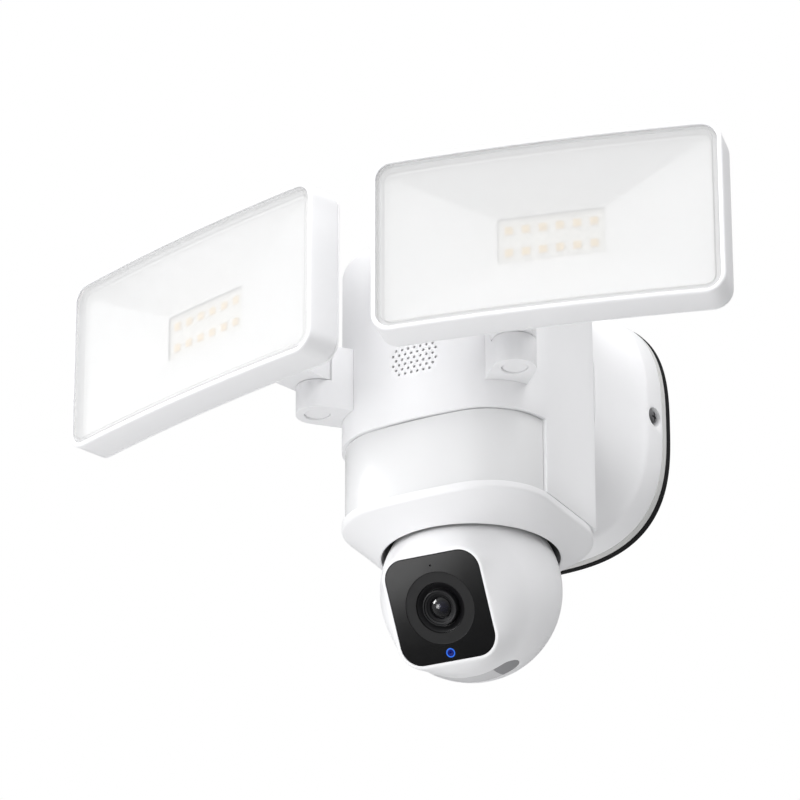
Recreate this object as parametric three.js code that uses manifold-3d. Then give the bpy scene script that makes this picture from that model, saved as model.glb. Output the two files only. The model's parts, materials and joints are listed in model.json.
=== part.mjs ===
// Floodlight security camera for an outdoor wall: a wall base, a housing with a motion
// sensor and a speaker, a pan-and-tilt camera ball below it and two LED floodlights on arms.
//
// Millimetres, +Z up. The wall is the plane y = 0 and lies behind the object, which faces -Y.
// The origin is the centre of the back of the wall seal.
import * as THREE from 'three';
import { mergeVertices } from 'three/addons/utils/BufferGeometryUtils.js';
import Module from 'manifold-3d';

const wasm = await Module();
wasm.setup();

// ---------------------------------------------------------------- driving dimensions
const GAP = 0.3; // clearance between neighbouring pieces

const SEAL_DEPTH = 3; // foam seal against the wall
const PLATE_DEPTH = 4; // mounting plate in front of the seal
const BASE_HALF = 59.6; // half width of the rounded-square wall base, at the wall
const BASE_FRONT_HALF = 57; // half width where the ring turns into the dome
const BASE_RING_DEPTH = 20.7; // wall to the front edge of the ring
const DOME_FRONT_HALF = 47.5; // half width where the dome meets the housing
const SQUARENESS = 2.9; // superellipse power of the wall base
const BASE_WALL = 2.5;
const LOCK_SCREW_DEPTH = 13; // wall to the axis of the side lock screws
const LOCK_SCREW_X = 57.9; // outer face of a lock screw's head
const LOCK_SCREW_HEAD = 3.7; // radius
const SCREW_WELL = 4.5; // radius of the well around each lock screw
const SCREW_HOLE = 2.3; // radius of the hole for its shank
const WIRE_HOLE = 13; // radius of the hole for the house wiring
const WIRE_HOLE_Z = -24;
const BOX_SCREW_X = 44.45; // junction box screws are 88.9 mm apart
const CABLE_HOLE = 11; // radius of the passage from the base into the housing
const LUG_X = 49; // lugs of the mounting plate, which take the lock screws

const HOUSING_HALF = 48.3; // half width of the housing
const HOUSING_FRONT = -126.5; // foremost line of the crowned front
const HOUSING_BACK = -50;
const HOUSING_TOP = 56;
const HOUSING_BOTTOM = -67;
const HOUSING_WALL = 2.5;
const HOUSING_TOP_EDGE = 7; // radius of the rounded top edge
const FRONT_CORNER = 30; // plan radius of the front corners
const BACK_CORNER = 4;
const CROWN_RADIUS = 216.5; // plan radius of the slightly crowned front

const WINDOW_TOP = -33.3; // lip above the motion sensor window
const WINDOW_END = -98.2; // y of the window's two ends on the housing sides
const WINDOW_INSET = 1.5; // the window lies this far inside the housing surface
const WINDOW_WALL = 1.8;

const SPEAKER_Z = -4.6;
const HOLE_RADIUS = 0.65; // holes of the speaker grille
const HOLE_PITCH = 2.95;
const HOLE_ROW_PITCH = 2.27;
const HOLE_ROWS = [6, 7, 8, 7, 8, 7, 6]; // holes in each row
const SENSOR_Z = -50; // middle of the motion sensor

const COLLAR_EDGE = -70.6; // lower end of the collar's upright band
const COLLAR_OPENING = -79.9; // height of the round opening
const OPENING_RADIUS = 38.25;
const COLLAR_BACK = -29;
const COLLAR_BACK_CORNER = 35;

const PAN_AXIS_Y = -76.4; // vertical axis of the camera ball
const BALL_RADIUS = 38.9;
const BALL_CENTRE_Z = -94.6;
const BALL_WALL = 2;
const BALL_PAN = 3.25; // degrees, towards +X
const BALL_TILT = 31.8; // degrees, downwards
const FACE_FORWARD = 36.8; // ball centre to the front of its flat face
const FACE_HALF_WIDTH = 23.1;
const FACE_HALF_HEIGHT = 24.3;
const FACE_CORNER = 10.5;
const FACE_RIM = 1.3; // rim left around the front glass
const NOSE_START = 19; // forward of this the ball turns into the rounded-square face
const SHELL_SPLIT = -3; // plane between the two ball shells, forward of the centre
const GLASS_DEPTH = 1.6;
const LENS_HOLE = 10.7; // radius of the hole that the lens looks through
const LENS_BORE = 5.2;
const MICROPHONE_Z = 18.4;
const MICROPHONE_HOLE = 0.6;
const STATUS_Z = -19.4; // ring light below the lens
const STATUS_OUTER = 2.2;
const STATUS_INNER = 1.3;
const HATCH_ANGLE = 66; // hatch under the ball, degrees below straight ahead
const HATCH_HALF = 5.6;
const HATCH_REACH = 19.5;
const HATCH_SPLIT = 10; // between the card cover and the sync button
const STEM_RADIUS = 8;
const AXLE_RADIUS = 2.5;

const ARM_ANGLE = 43.2; // arm direction, degrees from straight ahead
const LAMP_PIVOT = new THREE.Vector2(47.8, -125.5); // vertical lamp axis on the +X side
const ARM_HALF = 9.3;
const ARM_BOTTOM = -20.9;
const ARM_SEAT = -8.1; // top of the round front block, which carries the lamp link
const ARM_TOP = 8.2;
const LINK_REACH = 28; // vertical lamp axis to the tilt axis
const PIVOT_BOLT_RADIUS = 2.5;
const PLUG_RADIUS = 5.6;
const TONGUE_HALF = 5; // half width of the link's tilt tongue
const TONGUE_RADIUS = 7.5;
const TILT_PIN_RADIUS = 2;
const LAMP_YAW = { right: 14, left: 15.7 }; // degrees outwards

const LAMP_WIDTH = 150;
const LAMP_HEIGHT = 79.7;
const LAMP_DEPTH = 18;
const LAMP_CORNER = 9;
const LAMP_BOW = 3.04; // the lamp's middle stands this far proud of its ends
const LAMP_AHEAD = 27; // tilt axis to the front of the lamp
const LAMP_OUTWARD = 26.3; // tilt axis to the middle of the lamp, across
const LAMP_ABOVE = 17.3; // tilt axis to the middle of the lamp, upwards
const BOARD_HALF = new THREE.Vector2(23.5, 10.8);
const BOARD_FRONT = 13.6; // front of the lamp to the end of the reflector
const LED_COLUMNS = 6;
const LED_ROWS = 2;
const LED_PITCH = 7.3;
const LED_ROW_PITCH = 10.3;
const LED_HALF = 1.7;
const RIB_PITCH = 13; // cooling ribs on the back
const RIB_PLACES = [-4, 1, 2, 4];
const RIB_HALF_HEIGHT = 26;

const DECK_TOP = -43.8; // inner deck that carries the pan drive
const DECK_DEPTH = 2.5;
const HUB_RADIUS = 11.5; // turntable's hub
const GEAR_TOP = -50.3;
const GEAR_DEPTH = 3.7;
const GEAR_MODULE = 1;
const PINION_TEETH = 10;
const PAN_GEAR_TEETH = 40;
const TILT_GEAR_TEETH = 28;

// ---------------------------------------------------------------- materials
const finish = (color, roughness, metalness = 0) =>
  new THREE.MeshStandardMaterial({ color, roughness, metalness });

const WHITE_SHELL = finish(0xf2f2f3, 0.42);
const WHITE_LENS = finish(0xf4f4f4, 0.3);
const WHITE_INNER = finish(0xe4e4e2, 0.55);
const LAMP_WHITE = finish(0xf4f4f5, 0.4);
const DIFFUSER = finish(0xfafaf8, 0.35);
const REFLECTOR = finish(0xf0f0ee, 0.3);
const BLACK_GLASS = finish(0x0a0a0c, 0.08);
const BLACK_PLASTIC = finish(0x17171a, 0.5);
const DARK_RING = finish(0x3a3a3d, 0.45);
const LENS_GLASS = finish(0x1b1a2c, 0.05);
const BLUE_LIGHT = finish(0x2f7bff, 0.3);
const BLACK_FOAM = finish(0x131314, 0.85);
const GREY_RUBBER = finish(0xb9b9bb, 0.7);
const DARK_RUBBER = finish(0x6f6f74, 0.65);
const STEEL = finish(0x9a9b9d, 0.35, 0.9);
const ALUMINIUM = finish(0xc6c8ca, 0.4, 0.8);
const GREEN_BOARD = finish(0x1f5a3a, 0.5);
const WHITE_BOARD = finish(0xeceae0, 0.5);
const NYLON = finish(0xe9e6da, 0.5);

// ---------------------------------------------------------------- solids
const DEGREE = Math.PI / 180;

const moved = (geometry, x, y, z) => geometry.translate(x, y, z);

function bare(geometry) {
  const copy = geometry.clone();
  copy.deleteAttribute('normal');
  copy.deleteAttribute('uv');
  return mergeVertices(copy, 1e-4);
}

function toSolid(geometry) {
  const clean = bare(geometry);
  return new wasm.Manifold(new wasm.Mesh({
    numProp: 3,
    vertProperties: new Float32Array(clean.attributes.position.array),
    triVerts: new Uint32Array(clean.index.array),
  }));
}

function toGeometry(solid) {
  const mesh = solid.getMesh();
  const geometry = new THREE.BufferGeometry();
  geometry.setAttribute('position', new THREE.BufferAttribute(mesh.vertProperties, 3));
  geometry.setIndex(new THREE.BufferAttribute(mesh.triVerts, 1));
  return geometry;
}

const cut = (first, ...others) =>
  toGeometry(others.reduce((solid, other) => solid.subtract(toSolid(other)), toSolid(first)));
const join = (first, ...others) =>
  toGeometry(others.reduce((solid, other) => solid.add(toSolid(other)), toSolid(first)));
const common = (first, second) => toGeometry(toSolid(first).intersect(toSolid(second)));

/** A box given by its lowest and highest corners. */
function block([x0, y0, z0], [x1, y1, z1]) {
  const box = new THREE.BoxGeometry(x1 - x0, y1 - y0, z1 - z0);
  return moved(box, (x0 + x1) / 2, (y0 + y1) / 2, (z0 + z1) / 2);
}

/** A cylinder from one height to another along an axis: 'x', 'y' or 'z'. */
function rod(axis, radius, from, to, [u, v] = [0, 0], sides = 20) {
  const cylinder = new THREE.CylinderGeometry(radius, radius, to - from, sides);
  const middle = (from + to) / 2;
  if (axis === 'x') return moved(cylinder.rotateZ(Math.PI / 2), middle, u, v);
  if (axis === 'y') return moved(cylinder, u, middle, v);
  return moved(cylinder.rotateX(Math.PI / 2), u, v, middle);
}

/** A ring with a rectangular section. */
const ring = (axis, outer, inner, from, to, place = [0, 0], sides = 20) =>
  cut(rod(axis, outer, from, to, place, sides), rod(axis, inner, from - 1, to + 1, place, sides));

/** Skins a row of outlines with equally many points; ends are closed, or the row closes on itself. */
function loft(rings, closed = false) {
  const count = rings[0].length;
  const positions = rings.flatMap((points) => points.flatMap((p) => [p.x, p.y, p.z]));
  const index = [];
  const bands = closed ? rings.length : rings.length - 1;
  for (let band = 0; band < bands; band += 1) {
    const low = band * count;
    const high = ((band + 1) % rings.length) * count;
    for (let i = 0; i < count; i += 1) {
      const next = (i + 1) % count;
      index.push(low + i, low + next, high + next, low + i, high + next, high + i);
    }
  }
  const cap = (start, flip) => {
    const centre = positions.length / 3;
    const middle = rings[start / count].reduce((sum, p) => sum.add(p), new THREE.Vector3());
    positions.push(...middle.divideScalar(count).toArray());
    for (let i = 0; i < count; i += 1) {
      const next = (i + 1) % count;
      index.push(...(flip ? [centre, start + next, start + i] : [centre, start + i, start + next]));
    }
  };
  if (!closed) {
    cap(0, true);
    cap((rings.length - 1) * count, false);
  }
  const geometry = new THREE.BufferGeometry();
  geometry.setAttribute('position', new THREE.Float32BufferAttribute(positions, 3));
  geometry.setIndex(index);
  return facingOut(geometry);
}

/** Turns every face over when the solid is inside out. */
function facingOut(geometry) {
  const p = geometry.attributes.position;
  const index = geometry.index.array;
  const corner = (i) => new THREE.Vector3().fromBufferAttribute(p, index[i]);
  let volume = 0;
  for (let i = 0; i < index.length; i += 3) {
    volume += corner(i).dot(corner(i + 1).cross(corner(i + 2)));
  }
  if (volume < 0) {
    for (let i = 0; i < index.length; i += 3) {
      [index[i + 1], index[i + 2]] = [index[i + 2], index[i + 1]];
    }
  }
  return geometry;
}

/** Points on an arc, from one angle to another in degrees, measured from +X. */
function arc(cx, cy, radius, from, to, steps) {
  return Array.from({ length: steps + 1 }, (_, i) => {
    const angle = (from + ((to - from) * i) / steps) * DEGREE;
    return new THREE.Vector2(cx + radius * Math.cos(angle), cy + radius * Math.sin(angle));
  });
}

const atHeight = (outline, z) => outline.map((p) => new THREE.Vector3(p.x, p.y, z));
const atDepth = (outline, y) => outline.map((p) => new THREE.Vector3(p.x, y, p.y));

/** A superellipse outline. */
function squircle(half, count = 28) {
  const bend = (v) => Math.sign(v) * Math.abs(v) ** (2 / SQUARENESS) * half;
  return Array.from({ length: count }, (_, i) => {
    const angle = ((i + 0.5) / count) * 2 * Math.PI;
    return new THREE.Vector2(bend(Math.cos(angle)), bend(Math.sin(angle)));
  });
}

function roundedRectangle(halfWidth, halfHeight, radius, steps = 4) {
  const x = halfWidth - radius;
  const y = halfHeight - radius;
  return [
    ...arc(x, y, radius, 0, 90, steps),
    ...arc(-x, y, radius, 90, 180, steps),
    ...arc(-x, -y, radius, 180, 270, steps),
    ...arc(x, -y, radius, 270, 360, steps),
  ];
}

/** A bar from the origin to a reach along y, between two heights; its end at the origin is round. */
function roundEnded(half, reach, z0, z1) {
  const bar = block([-half, Math.min(0, reach), z0], [half, Math.max(0, reach), z1]);
  return join(bar, rod('z', half, z0, z1, [0, 0], 32));
}

// ---------------------------------------------------------------- wall base
const PLATE_BACK = -SEAL_DEPTH - GAP;
const PLATE_FRONT = -SEAL_DEPTH - PLATE_DEPTH;

function wallSeal() {
  const pad = loft([atDepth(squircle(BASE_HALF), 0), atDepth(squircle(BASE_HALF), -SEAL_DEPTH)]);
  return cut(pad, rod('y', WIRE_HOLE, -SEAL_DEPTH - 1, 1, [0, WIRE_HOLE_Z]), ...boxScrewSlots());
}

function boxScrewSlots() {
  const half = { width: 2.6, height: 6 };
  return [-1, 1].map((side) =>
    block([side * BOX_SCREW_X - half.width, PLATE_FRONT - 2, -half.height],
      [side * BOX_SCREW_X + half.width, 1, half.height]));
}

/** Flat plate with two lugs that take the lock screws. */
function mountingPlate() {
  const half = BASE_HALF - 0.4;
  const plate = loft([atDepth(squircle(half), PLATE_BACK), atDepth(squircle(half), PLATE_FRONT)]);
  const lugs = [-1, 1].map((side) => block(
    [side * LUG_X - 2, -LOCK_SCREW_DEPTH - 5, -7], [side * LUG_X + 2, PLATE_FRONT + 0.5, 7]));
  const screwHoles = rod('x', SCREW_HOLE, -60, 60, [-LOCK_SCREW_DEPTH, 0], 16);
  const wires = rod('y', WIRE_HOLE - 2, PLATE_FRONT - 1, 0, [0, WIRE_HOLE_Z]);
  return cut(join(plate, ...lugs), screwHoles, wires, ...boxScrewSlots());
}

/** Rubber ring around the house wiring, in the mounting plate's hole. */
const wireGrommet = () =>
  ring('y', WIRE_HOLE - 2 - GAP, 6, PLATE_FRONT - 3, PLATE_BACK, [0, WIRE_HOLE_Z]);

const terminalBlock = () => {
  const body = block([-18, -20, -4], [18, PLATE_FRONT - GAP, 10]);
  const wells = [-11, 0, 11].map((x) => rod('y', 3, -21, -14, [x, 3], 12));
  return cut(body, ...wells);
};

/** Half width of the ring and dome, at distances from the wall. */
const BASE_PROFILE = [
  [BASE_HALF - 0.5, SEAL_DEPTH + PLATE_DEPTH + GAP],
  [BASE_FRONT_HALF + 0.3, BASE_RING_DEPTH - 2.2],
  [BASE_FRONT_HALF - 1.6, BASE_RING_DEPTH],
  [BASE_FRONT_HALF - 3.4, BASE_RING_DEPTH + 3.4],
  [BASE_FRONT_HALF - 6.2, BASE_RING_DEPTH + 12],
  [DOME_FRONT_HALF + 1.1, BASE_RING_DEPTH + 21],
  [DOME_FRONT_HALF, -HOUSING_BACK - GAP],
];

function baseShell() {
  const outside = loft(BASE_PROFILE.map(([half, depth]) => atDepth(squircle(half), -depth)));
  const inside = loft([
    atDepth(squircle(BASE_HALF - BASE_WALL), PLATE_FRONT),
    atDepth(squircle(BASE_FRONT_HALF - BASE_WALL), -BASE_RING_DEPTH + BASE_WALL),
    atDepth(squircle(DOME_FRONT_HALF - BASE_WALL), HOUSING_BACK + BASE_WALL),
  ]);
  const crosswise = (radius, middle, half) => [-1, 1].map((side) =>
    rod('x', radius, side * middle - half, side * middle + half, [-LOCK_SCREW_DEPTH, 0]));
  const floors = crosswise(SCREW_WELL + 1.1, 54.2, 1.6);
  const wells = crosswise(SCREW_WELL, 58, 2.6);
  const shanks = rod('x', SCREW_HOLE, -70, 70, [-LOCK_SCREW_DEPTH, 0], 16);
  const cable = rod('y', CABLE_HOLE, HOUSING_BACK - 2, -BASE_RING_DEPTH);
  return cut(join(cut(outside, inside), ...floors), ...wells, shanks, cable);
}

/** Pan-head screw with a cross recess; the head's outer face is at the given height, facing +Z. */
function crossScrew(headRadius, headHeight, shankRadius, length) {
  const screw = join(rod('z', headRadius, -headHeight, 0), rod('z', shankRadius, -length, -1, [0, 0], 12));
  const slot = headRadius * 0.62;
  const arms = [[slot, 0.45], [0.45, slot]].map(([x, y]) => block([-x, -y, -1.1], [x, y, 1]));
  return cut(screw, ...arms);
}

const lockScrew = (side) => moved(
  crossScrew(LOCK_SCREW_HEAD, 2.2, SCREW_HOLE - GAP, 9).rotateY((side * Math.PI) / 2),
  side * LOCK_SCREW_X, -LOCK_SCREW_DEPTH, 0);

// ---------------------------------------------------------------- housing
/** y of the front corners' centres, from the crown being tangent to both corners. */
const FRONT_CORNER_Y = HOUSING_FRONT + CROWN_RADIUS - Math.sqrt(
  (CROWN_RADIUS - FRONT_CORNER) ** 2 - (HOUSING_HALF - FRONT_CORNER) ** 2);

/** Plan outline of the housing, moved inwards by an inset. */
function housingOutline(inset) {
  const corner = { x: HOUSING_HALF - FRONT_CORNER, y: FRONT_CORNER_Y };
  const crownAngle = Math.asin(corner.x / (CROWN_RADIUS - FRONT_CORNER)) / DEGREE;
  const back = Math.max(BACK_CORNER - inset, 0.6);
  const backX = HOUSING_HALF - inset - back;
  const backY = HOUSING_BACK - inset - back;
  return [
    ...arc(0, HOUSING_FRONT + CROWN_RADIUS, CROWN_RADIUS - inset, 270 - crownAngle, 270 + crownAngle, 3),
    ...arc(corner.x, corner.y, FRONT_CORNER - inset, 270 + crownAngle, 360, 6).slice(1),
    ...arc(backX, backY, back, 0, 90, 2),
    ...arc(-backX, backY, back, 90, 180, 2),
    ...arc(-corner.x, corner.y, FRONT_CORNER - inset, 180, 270 - crownAngle, 6).slice(0, -1),
  ];
}

function speakerHoles() {
  return HOLE_ROWS.flatMap((count, row) => Array.from({ length: count }, (_, i) => {
    const x = (i - (count - 1) / 2) * HOLE_PITCH;
    const z = SPEAKER_Z + (row - (HOLE_ROWS.length - 1) / 2) * HOLE_ROW_PITCH;
    return rod('y', HOLE_RADIUS, HOUSING_FRONT - 2, HOUSING_FRONT + 6, [x, z], 6);
  }));
}

function upperHousing() {
  const edge = HOUSING_TOP_EDGE;
  const topRing = (angle) => atHeight(housingOutline(edge * (1 - Math.cos(angle * DEGREE))),
    HOUSING_TOP - edge + edge * Math.sin(angle * DEGREE));
  const outside = loft([atHeight(housingOutline(0), HOUSING_BOTTOM),
    ...[0, 30, 60, 90].map(topRing)]);
  const inside = loft([atHeight(housingOutline(HOUSING_WALL), HOUSING_BOTTOM - 1),
    atHeight(housingOutline(HOUSING_WALL), HOUSING_TOP - edge),
    atHeight(housingOutline(HOUSING_WALL + 3.5), HOUSING_TOP - HOUSING_WALL)]);
  const window = block([-60, -140, HOUSING_BOTTOM - 1], [60, WINDOW_END, WINDOW_TOP]);
  const cable = rod('y', CABLE_HOLE, HOUSING_BACK - 6, HOUSING_BACK + 2);
  const lampWires = [-1, 1].map((side) =>
    inArmFrame(side, rod('y', 2.4, 5, 22, [0, -1], 12)));
  const ballRoom = moved(new THREE.SphereGeometry(BALL_RADIUS + 2, 32, 20),
    0, PAN_AXIS_Y, BALL_CENTRE_Z);
  return cut(outside, inside, window, cable, ballRoom, ...speakerHoles(), ...lampWires);
}

/** Translucent window of the motion sensor, wrapped around the front. */
function sensorWindow() {
  const shell = cut(
    loft([atHeight(housingOutline(WINDOW_INSET), HOUSING_BOTTOM),
      atHeight(housingOutline(WINDOW_INSET), WINDOW_TOP - GAP)]),
    loft([atHeight(housingOutline(WINDOW_INSET + WINDOW_WALL), HOUSING_BOTTOM - 1),
      atHeight(housingOutline(WINDOW_INSET + WINDOW_WALL), WINDOW_TOP + 1)]));
  return common(shell, block([-60, -140, HOUSING_BOTTOM - 1], [60, WINDOW_END - GAP, WINDOW_TOP]));
}

const motionSensor = () =>
  join(rod('y', 4.6, -117.5, -114.6, [0, SENSOR_Z]), rod('y', 4, -121, -117, [0, SENSOR_Z]));
const sensorBoard = () => block([-16, -114.3, SENSOR_Z - 11], [16, -112.7, SENSOR_Z + 9]);

/** Plan outline of the collar: the housing's front and a rounder back. */
function collarOutline(inset) {
  const backX = HOUSING_HALF - COLLAR_BACK_CORNER;
  const backY = COLLAR_BACK - COLLAR_BACK_CORNER;
  const back = COLLAR_BACK_CORNER - inset;
  const front = housingOutline(inset).filter((p) => p.y < FRONT_CORNER_Y + 0.01);
  const middle = front.findIndex((p) => p.x === Math.max(...front.map((q) => q.x)));
  const side = HOUSING_HALF - inset;
  const sideSteps = [1 / 3, 2 / 3].map((part) => FRONT_CORNER_Y + (backY - FRONT_CORNER_Y) * part);
  return [
    ...front.slice(0, middle + 1),
    ...sideSteps.map((y) => new THREE.Vector2(side, y)),
    ...arc(backX, backY, back, 0, 90, 5),
    new THREE.Vector2(0, backY + back),
    ...arc(-backX, backY, back, 90, 180, 5),
    ...sideSteps.reverse().map((y) => new THREE.Vector2(-side, y)),
    ...front.slice(middle + 1),
  ];
}

/** A circle about the pan axis, with its points in the directions of the collar's points. */
const openingCircle = (radius) => collarOutline(0).map((p) => {
  const away = new THREE.Vector2(p.x, p.y - PAN_AXIS_Y).setLength(radius);
  return new THREE.Vector2(away.x, away.y + PAN_AXIS_Y);
});

function lowerCollar() {
  const top = HOUSING_BOTTOM - GAP;
  return loft([
    atHeight(collarOutline(0), top),
    atHeight(collarOutline(0), COLLAR_EDGE),
    atHeight(collarOutline(1.2), COLLAR_EDGE - 1.5),
    atHeight(openingCircle(OPENING_RADIUS + 0.7), COLLAR_OPENING),
    atHeight(openingCircle(OPENING_RADIUS), COLLAR_OPENING + 0.5),
    atHeight(openingCircle(OPENING_RADIUS + 2.2), COLLAR_OPENING + 3.5),
    atHeight(openingCircle(OPENING_RADIUS + 2.5), top),
  ], true);
}

const speaker = () => join(
  rod('y', 14.5, -120.6, -117, [0, SPEAKER_Z]),
  rod('y', 9, -117.2, -109, [0, SPEAKER_Z]));

const mainBoard = () => block([-36, -62, -34], [36, -60.4, 46]);
const powerModule = () => block([-30, -90, 14], [30, -66, 44]);
const heatSpreader = () => {
  const plate = block([-24, -100, 14], [24, -90.4, 16.5]);
  const fins = [-18, -6, 6, 18].map((x) => block([x - 1, -100, 15], [x + 1, -90.4, 30]));
  return join(plate, ...fins);
};

// ---------------------------------------------------------------- pan drive
const PAN_PINION_Y = PAN_AXIS_Y - (GEAR_MODULE * (PAN_GEAR_TEETH + PINION_TEETH)) / 2;

/** Inner deck that carries the pan drive. */
function pivotDeck() {
  const inset = WINDOW_INSET + WINDOW_WALL + GAP;
  const deck = loft([atHeight(housingOutline(inset), DECK_TOP - DECK_DEPTH),
    atHeight(housingOutline(inset), DECK_TOP)]);
  const front = block([-60, -140, -60], [60, -112, 0]);
  const shaft = rod('z', 2.4, -60, 0, [0, PAN_PINION_Y], 16);
  return cut(deck, front, rod('z', HUB_RADIUS + GAP, -60, 0, [0, PAN_AXIS_Y], 32), shaft);
}

const panBearing = () => ring('z', HUB_RADIUS + 4.5, HUB_RADIUS + GAP,
  GEAR_TOP + GAP, DECK_TOP - DECK_DEPTH - GAP, [0, PAN_AXIS_Y], 32);

const panRetainer = () => ring('z', HUB_RADIUS + 3.5, HUB_RADIUS + GAP,
  DECK_TOP + GAP, DECK_TOP + 2, [0, PAN_AXIS_Y], 32);

/** A spur gear's outline with straight-sided teeth; one tooth points along the phase angle. */
function gearOutline(teeth, phase) {
  const pitch = (GEAR_MODULE * teeth) / 2;
  const root = pitch - 1.15 * GEAR_MODULE;
  const tip = pitch + 0.8 * GEAR_MODULE;
  const step = (2 * Math.PI) / teeth;
  const corners = [[-0.3, root], [-0.13, tip], [0.13, tip], [0.3, root]];
  return Array.from({ length: teeth }, (_, tooth) => corners.map(([part, radius]) => {
    const angle = phase + (tooth + part) * step;
    return new THREE.Vector2(radius * Math.cos(angle), radius * Math.sin(angle));
  })).flat();
}

const gear = (teeth, phase, from, to) =>
  moved(new THREE.ExtrudeGeometry(new THREE.Shape(gearOutline(teeth, phase)),
    { depth: to - from, bevelEnabled: false }), 0, 0, from);

/** Turntable with the pan gear; its hub passes up through the bearing. */
function panTurntable() {
  const wheel = gear(PAN_GEAR_TEETH, -Math.PI / 2, GEAR_TOP - GEAR_DEPTH, GEAR_TOP);
  const hub = rod('z', HUB_RADIUS, GEAR_TOP - 1, DECK_TOP + 2.2, [0, 0], 32);
  return moved(cut(join(wheel, hub), rod('z', 4, -70, -30, [0, 0], 16)), 0, PAN_AXIS_Y, 0);
}

const PINION_GAP = Math.PI / 2 + Math.PI / PINION_TEETH; // puts a gap towards the big gear

const panPinion = () => {
  const wheel = gear(PINION_TEETH, PINION_GAP, GEAR_TOP - GEAR_DEPTH, GEAR_TOP);
  const shaft = rod('z', 1.5, GEAR_TOP - 0.5, DECK_TOP + 0.5, [0, 0], 12);
  return moved(join(wheel, shaft), 0, PAN_PINION_Y, 0);
};

const panMotor = () => {
  const can = rod('z', 8.5, DECK_TOP + GAP, DECK_TOP + 12, [0, PAN_PINION_Y], 20);
  return cut(can, rod('z', 2.2, DECK_TOP, DECK_TOP + 3, [0, PAN_PINION_Y], 16));
};

// ---------------------------------------------------------------- camera ball
// Pieces of the ball are made about its centre, facing -Y.
const BALL_SIDES = 24;

/** Hollow stem from the turntable to the tilt axle. */
function tiltStem() {
  const top = GEAR_TOP - GEAR_DEPTH - GAP - BALL_CENTRE_Z;
  const stem = join(rod('z', STEM_RADIUS, 0, top), rod('x', 7, -11, 11));
  return cut(stem, rod('x', AXLE_RADIUS + GAP, -12, 12, [0, 0], 16), rod('z', 4, 9, top + 1, [0, 0], 12));
}

const tiltAxle = () => rod('x', AXLE_RADIUS, -33.5, 33.5, [0, 0], 16);

/** Sideways ring of the ball at a distance in front of its centre. */
function ballRing(forward, inset = 0) {
  const radius = Math.sqrt(Math.max((BALL_RADIUS - inset) ** 2 - forward ** 2, 0.04));
  return atDepth(arc(0, 0, radius, 0, 360, BALL_SIDES).slice(0, -1), -forward);
}

/** Distance from the face's centre to its rounded-square edge in a direction. */
function faceRadius(direction, inset) {
  const halfWidth = FACE_HALF_WIDTH - inset;
  const halfHeight = FACE_HALF_HEIGHT - inset;
  const corner = FACE_CORNER - inset;
  const x = Math.abs(direction.x);
  const y = Math.abs(direction.y);
  const toCorner = new THREE.Vector2(halfWidth - corner, halfHeight - corner);
  const side = Math.min(halfWidth / Math.max(x, 1e-6), halfHeight / Math.max(y, 1e-6));
  const hit = new THREE.Vector2(x, y).multiplyScalar(side);
  if (hit.x <= toCorner.x || hit.y <= toCorner.y) return side;
  const along = x * toCorner.x + y * toCorner.y;
  return along + Math.sqrt(along ** 2 - toCorner.lengthSq() + corner ** 2);
}

/**
 * Ring of the nose: the ball's own circle mixed with the face outline. The nose is full at its
 * sides and below, and straight above, where it passes under the collar as the ball tilts up.
 */
function noseRing(forward, fullShare, inset = 0) {
  const start = Math.sqrt(BALL_RADIUS ** 2 - NOSE_START ** 2);
  const straightShare = (forward - NOSE_START) / (FACE_FORWARD - NOSE_START);
  return atDepth(arc(0, 0, 1, 0, 360, BALL_SIDES).slice(0, -1).map((direction) => {
    const upward = Math.max(direction.y, 0);
    const share = fullShare + (straightShare - fullShare) * upward;
    const face = faceRadius(direction, inset);
    return direction.clone().multiplyScalar((start - inset) * (1 - share) + face * share);
  }), -forward);
}

/** Rings of the nose, as the distance ahead of the ball's centre and the face outline's share. */
const NOSE_STEPS = [[25, 0.2], [31, 0.53], [35.2, 0.86], [FACE_FORWARD, 1]];

/** Whole ball, or its inner hollow when an inset is given. */
function ballBody(inset) {
  const round = [-37.8, -33, -25, -13, 0, 11, NOSE_START].map((f) =>
    ballRing(f * ((BALL_RADIUS - inset) / BALL_RADIUS), inset));
  const nose = NOSE_STEPS.map(([forward, share]) =>
    noseRing(Math.min(forward, FACE_FORWARD - 1.6 * inset), share, inset));
  return loft([...round, ...nose.filter((r, i, all) => i === 0 || r[0].y < all[i - 1][0].y - 0.1)]);
}

const glassOutline = (inset) => roundedRectangle(FACE_HALF_WIDTH - inset, FACE_HALF_HEIGHT - inset,
  FACE_CORNER - inset, 5);

function headFrontShell() {
  const shell = common(cut(ballBody(0), ballBody(BALL_WALL)),
    block([-50, -50, -50], [50, -SHELL_SPLIT - GAP / 2, 50]));
  const glassSeat = loft([atDepth(glassOutline(FACE_RIM), -FACE_FORWARD - 1),
    atDepth(glassOutline(FACE_RIM), -FACE_FORWARD + GLASS_DEPTH + GAP)]);
  const opening = loft([atDepth(glassOutline(FACE_RIM + 3), -FACE_FORWARD - 1),
    atDepth(glassOutline(FACE_RIM + 3), -FACE_FORWARD + 6)]);
  return cut(shell, glassSeat, opening, hatchCutter(0));
}

/** Black front glass, with the lens hole and the microphone hole. */
function frontGlass() {
  const pane = loft([atDepth(glassOutline(FACE_RIM + GAP), -FACE_FORWARD + 0.1),
    atDepth(glassOutline(FACE_RIM + GAP), -FACE_FORWARD + GLASS_DEPTH)]);
  const groove = ring('y', STATUS_OUTER + 0.15, STATUS_INNER, -40,
    -FACE_FORWARD + GLASS_DEPTH - 0.4, [0, STATUS_Z], 20);
  return cut(pane, groove, rod('y', LENS_HOLE, -40, -30, [0, 0], 32),
    rod('y', MICROPHONE_HOLE, -40, -30, [0, MICROPHONE_Z], 8));
}

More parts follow.
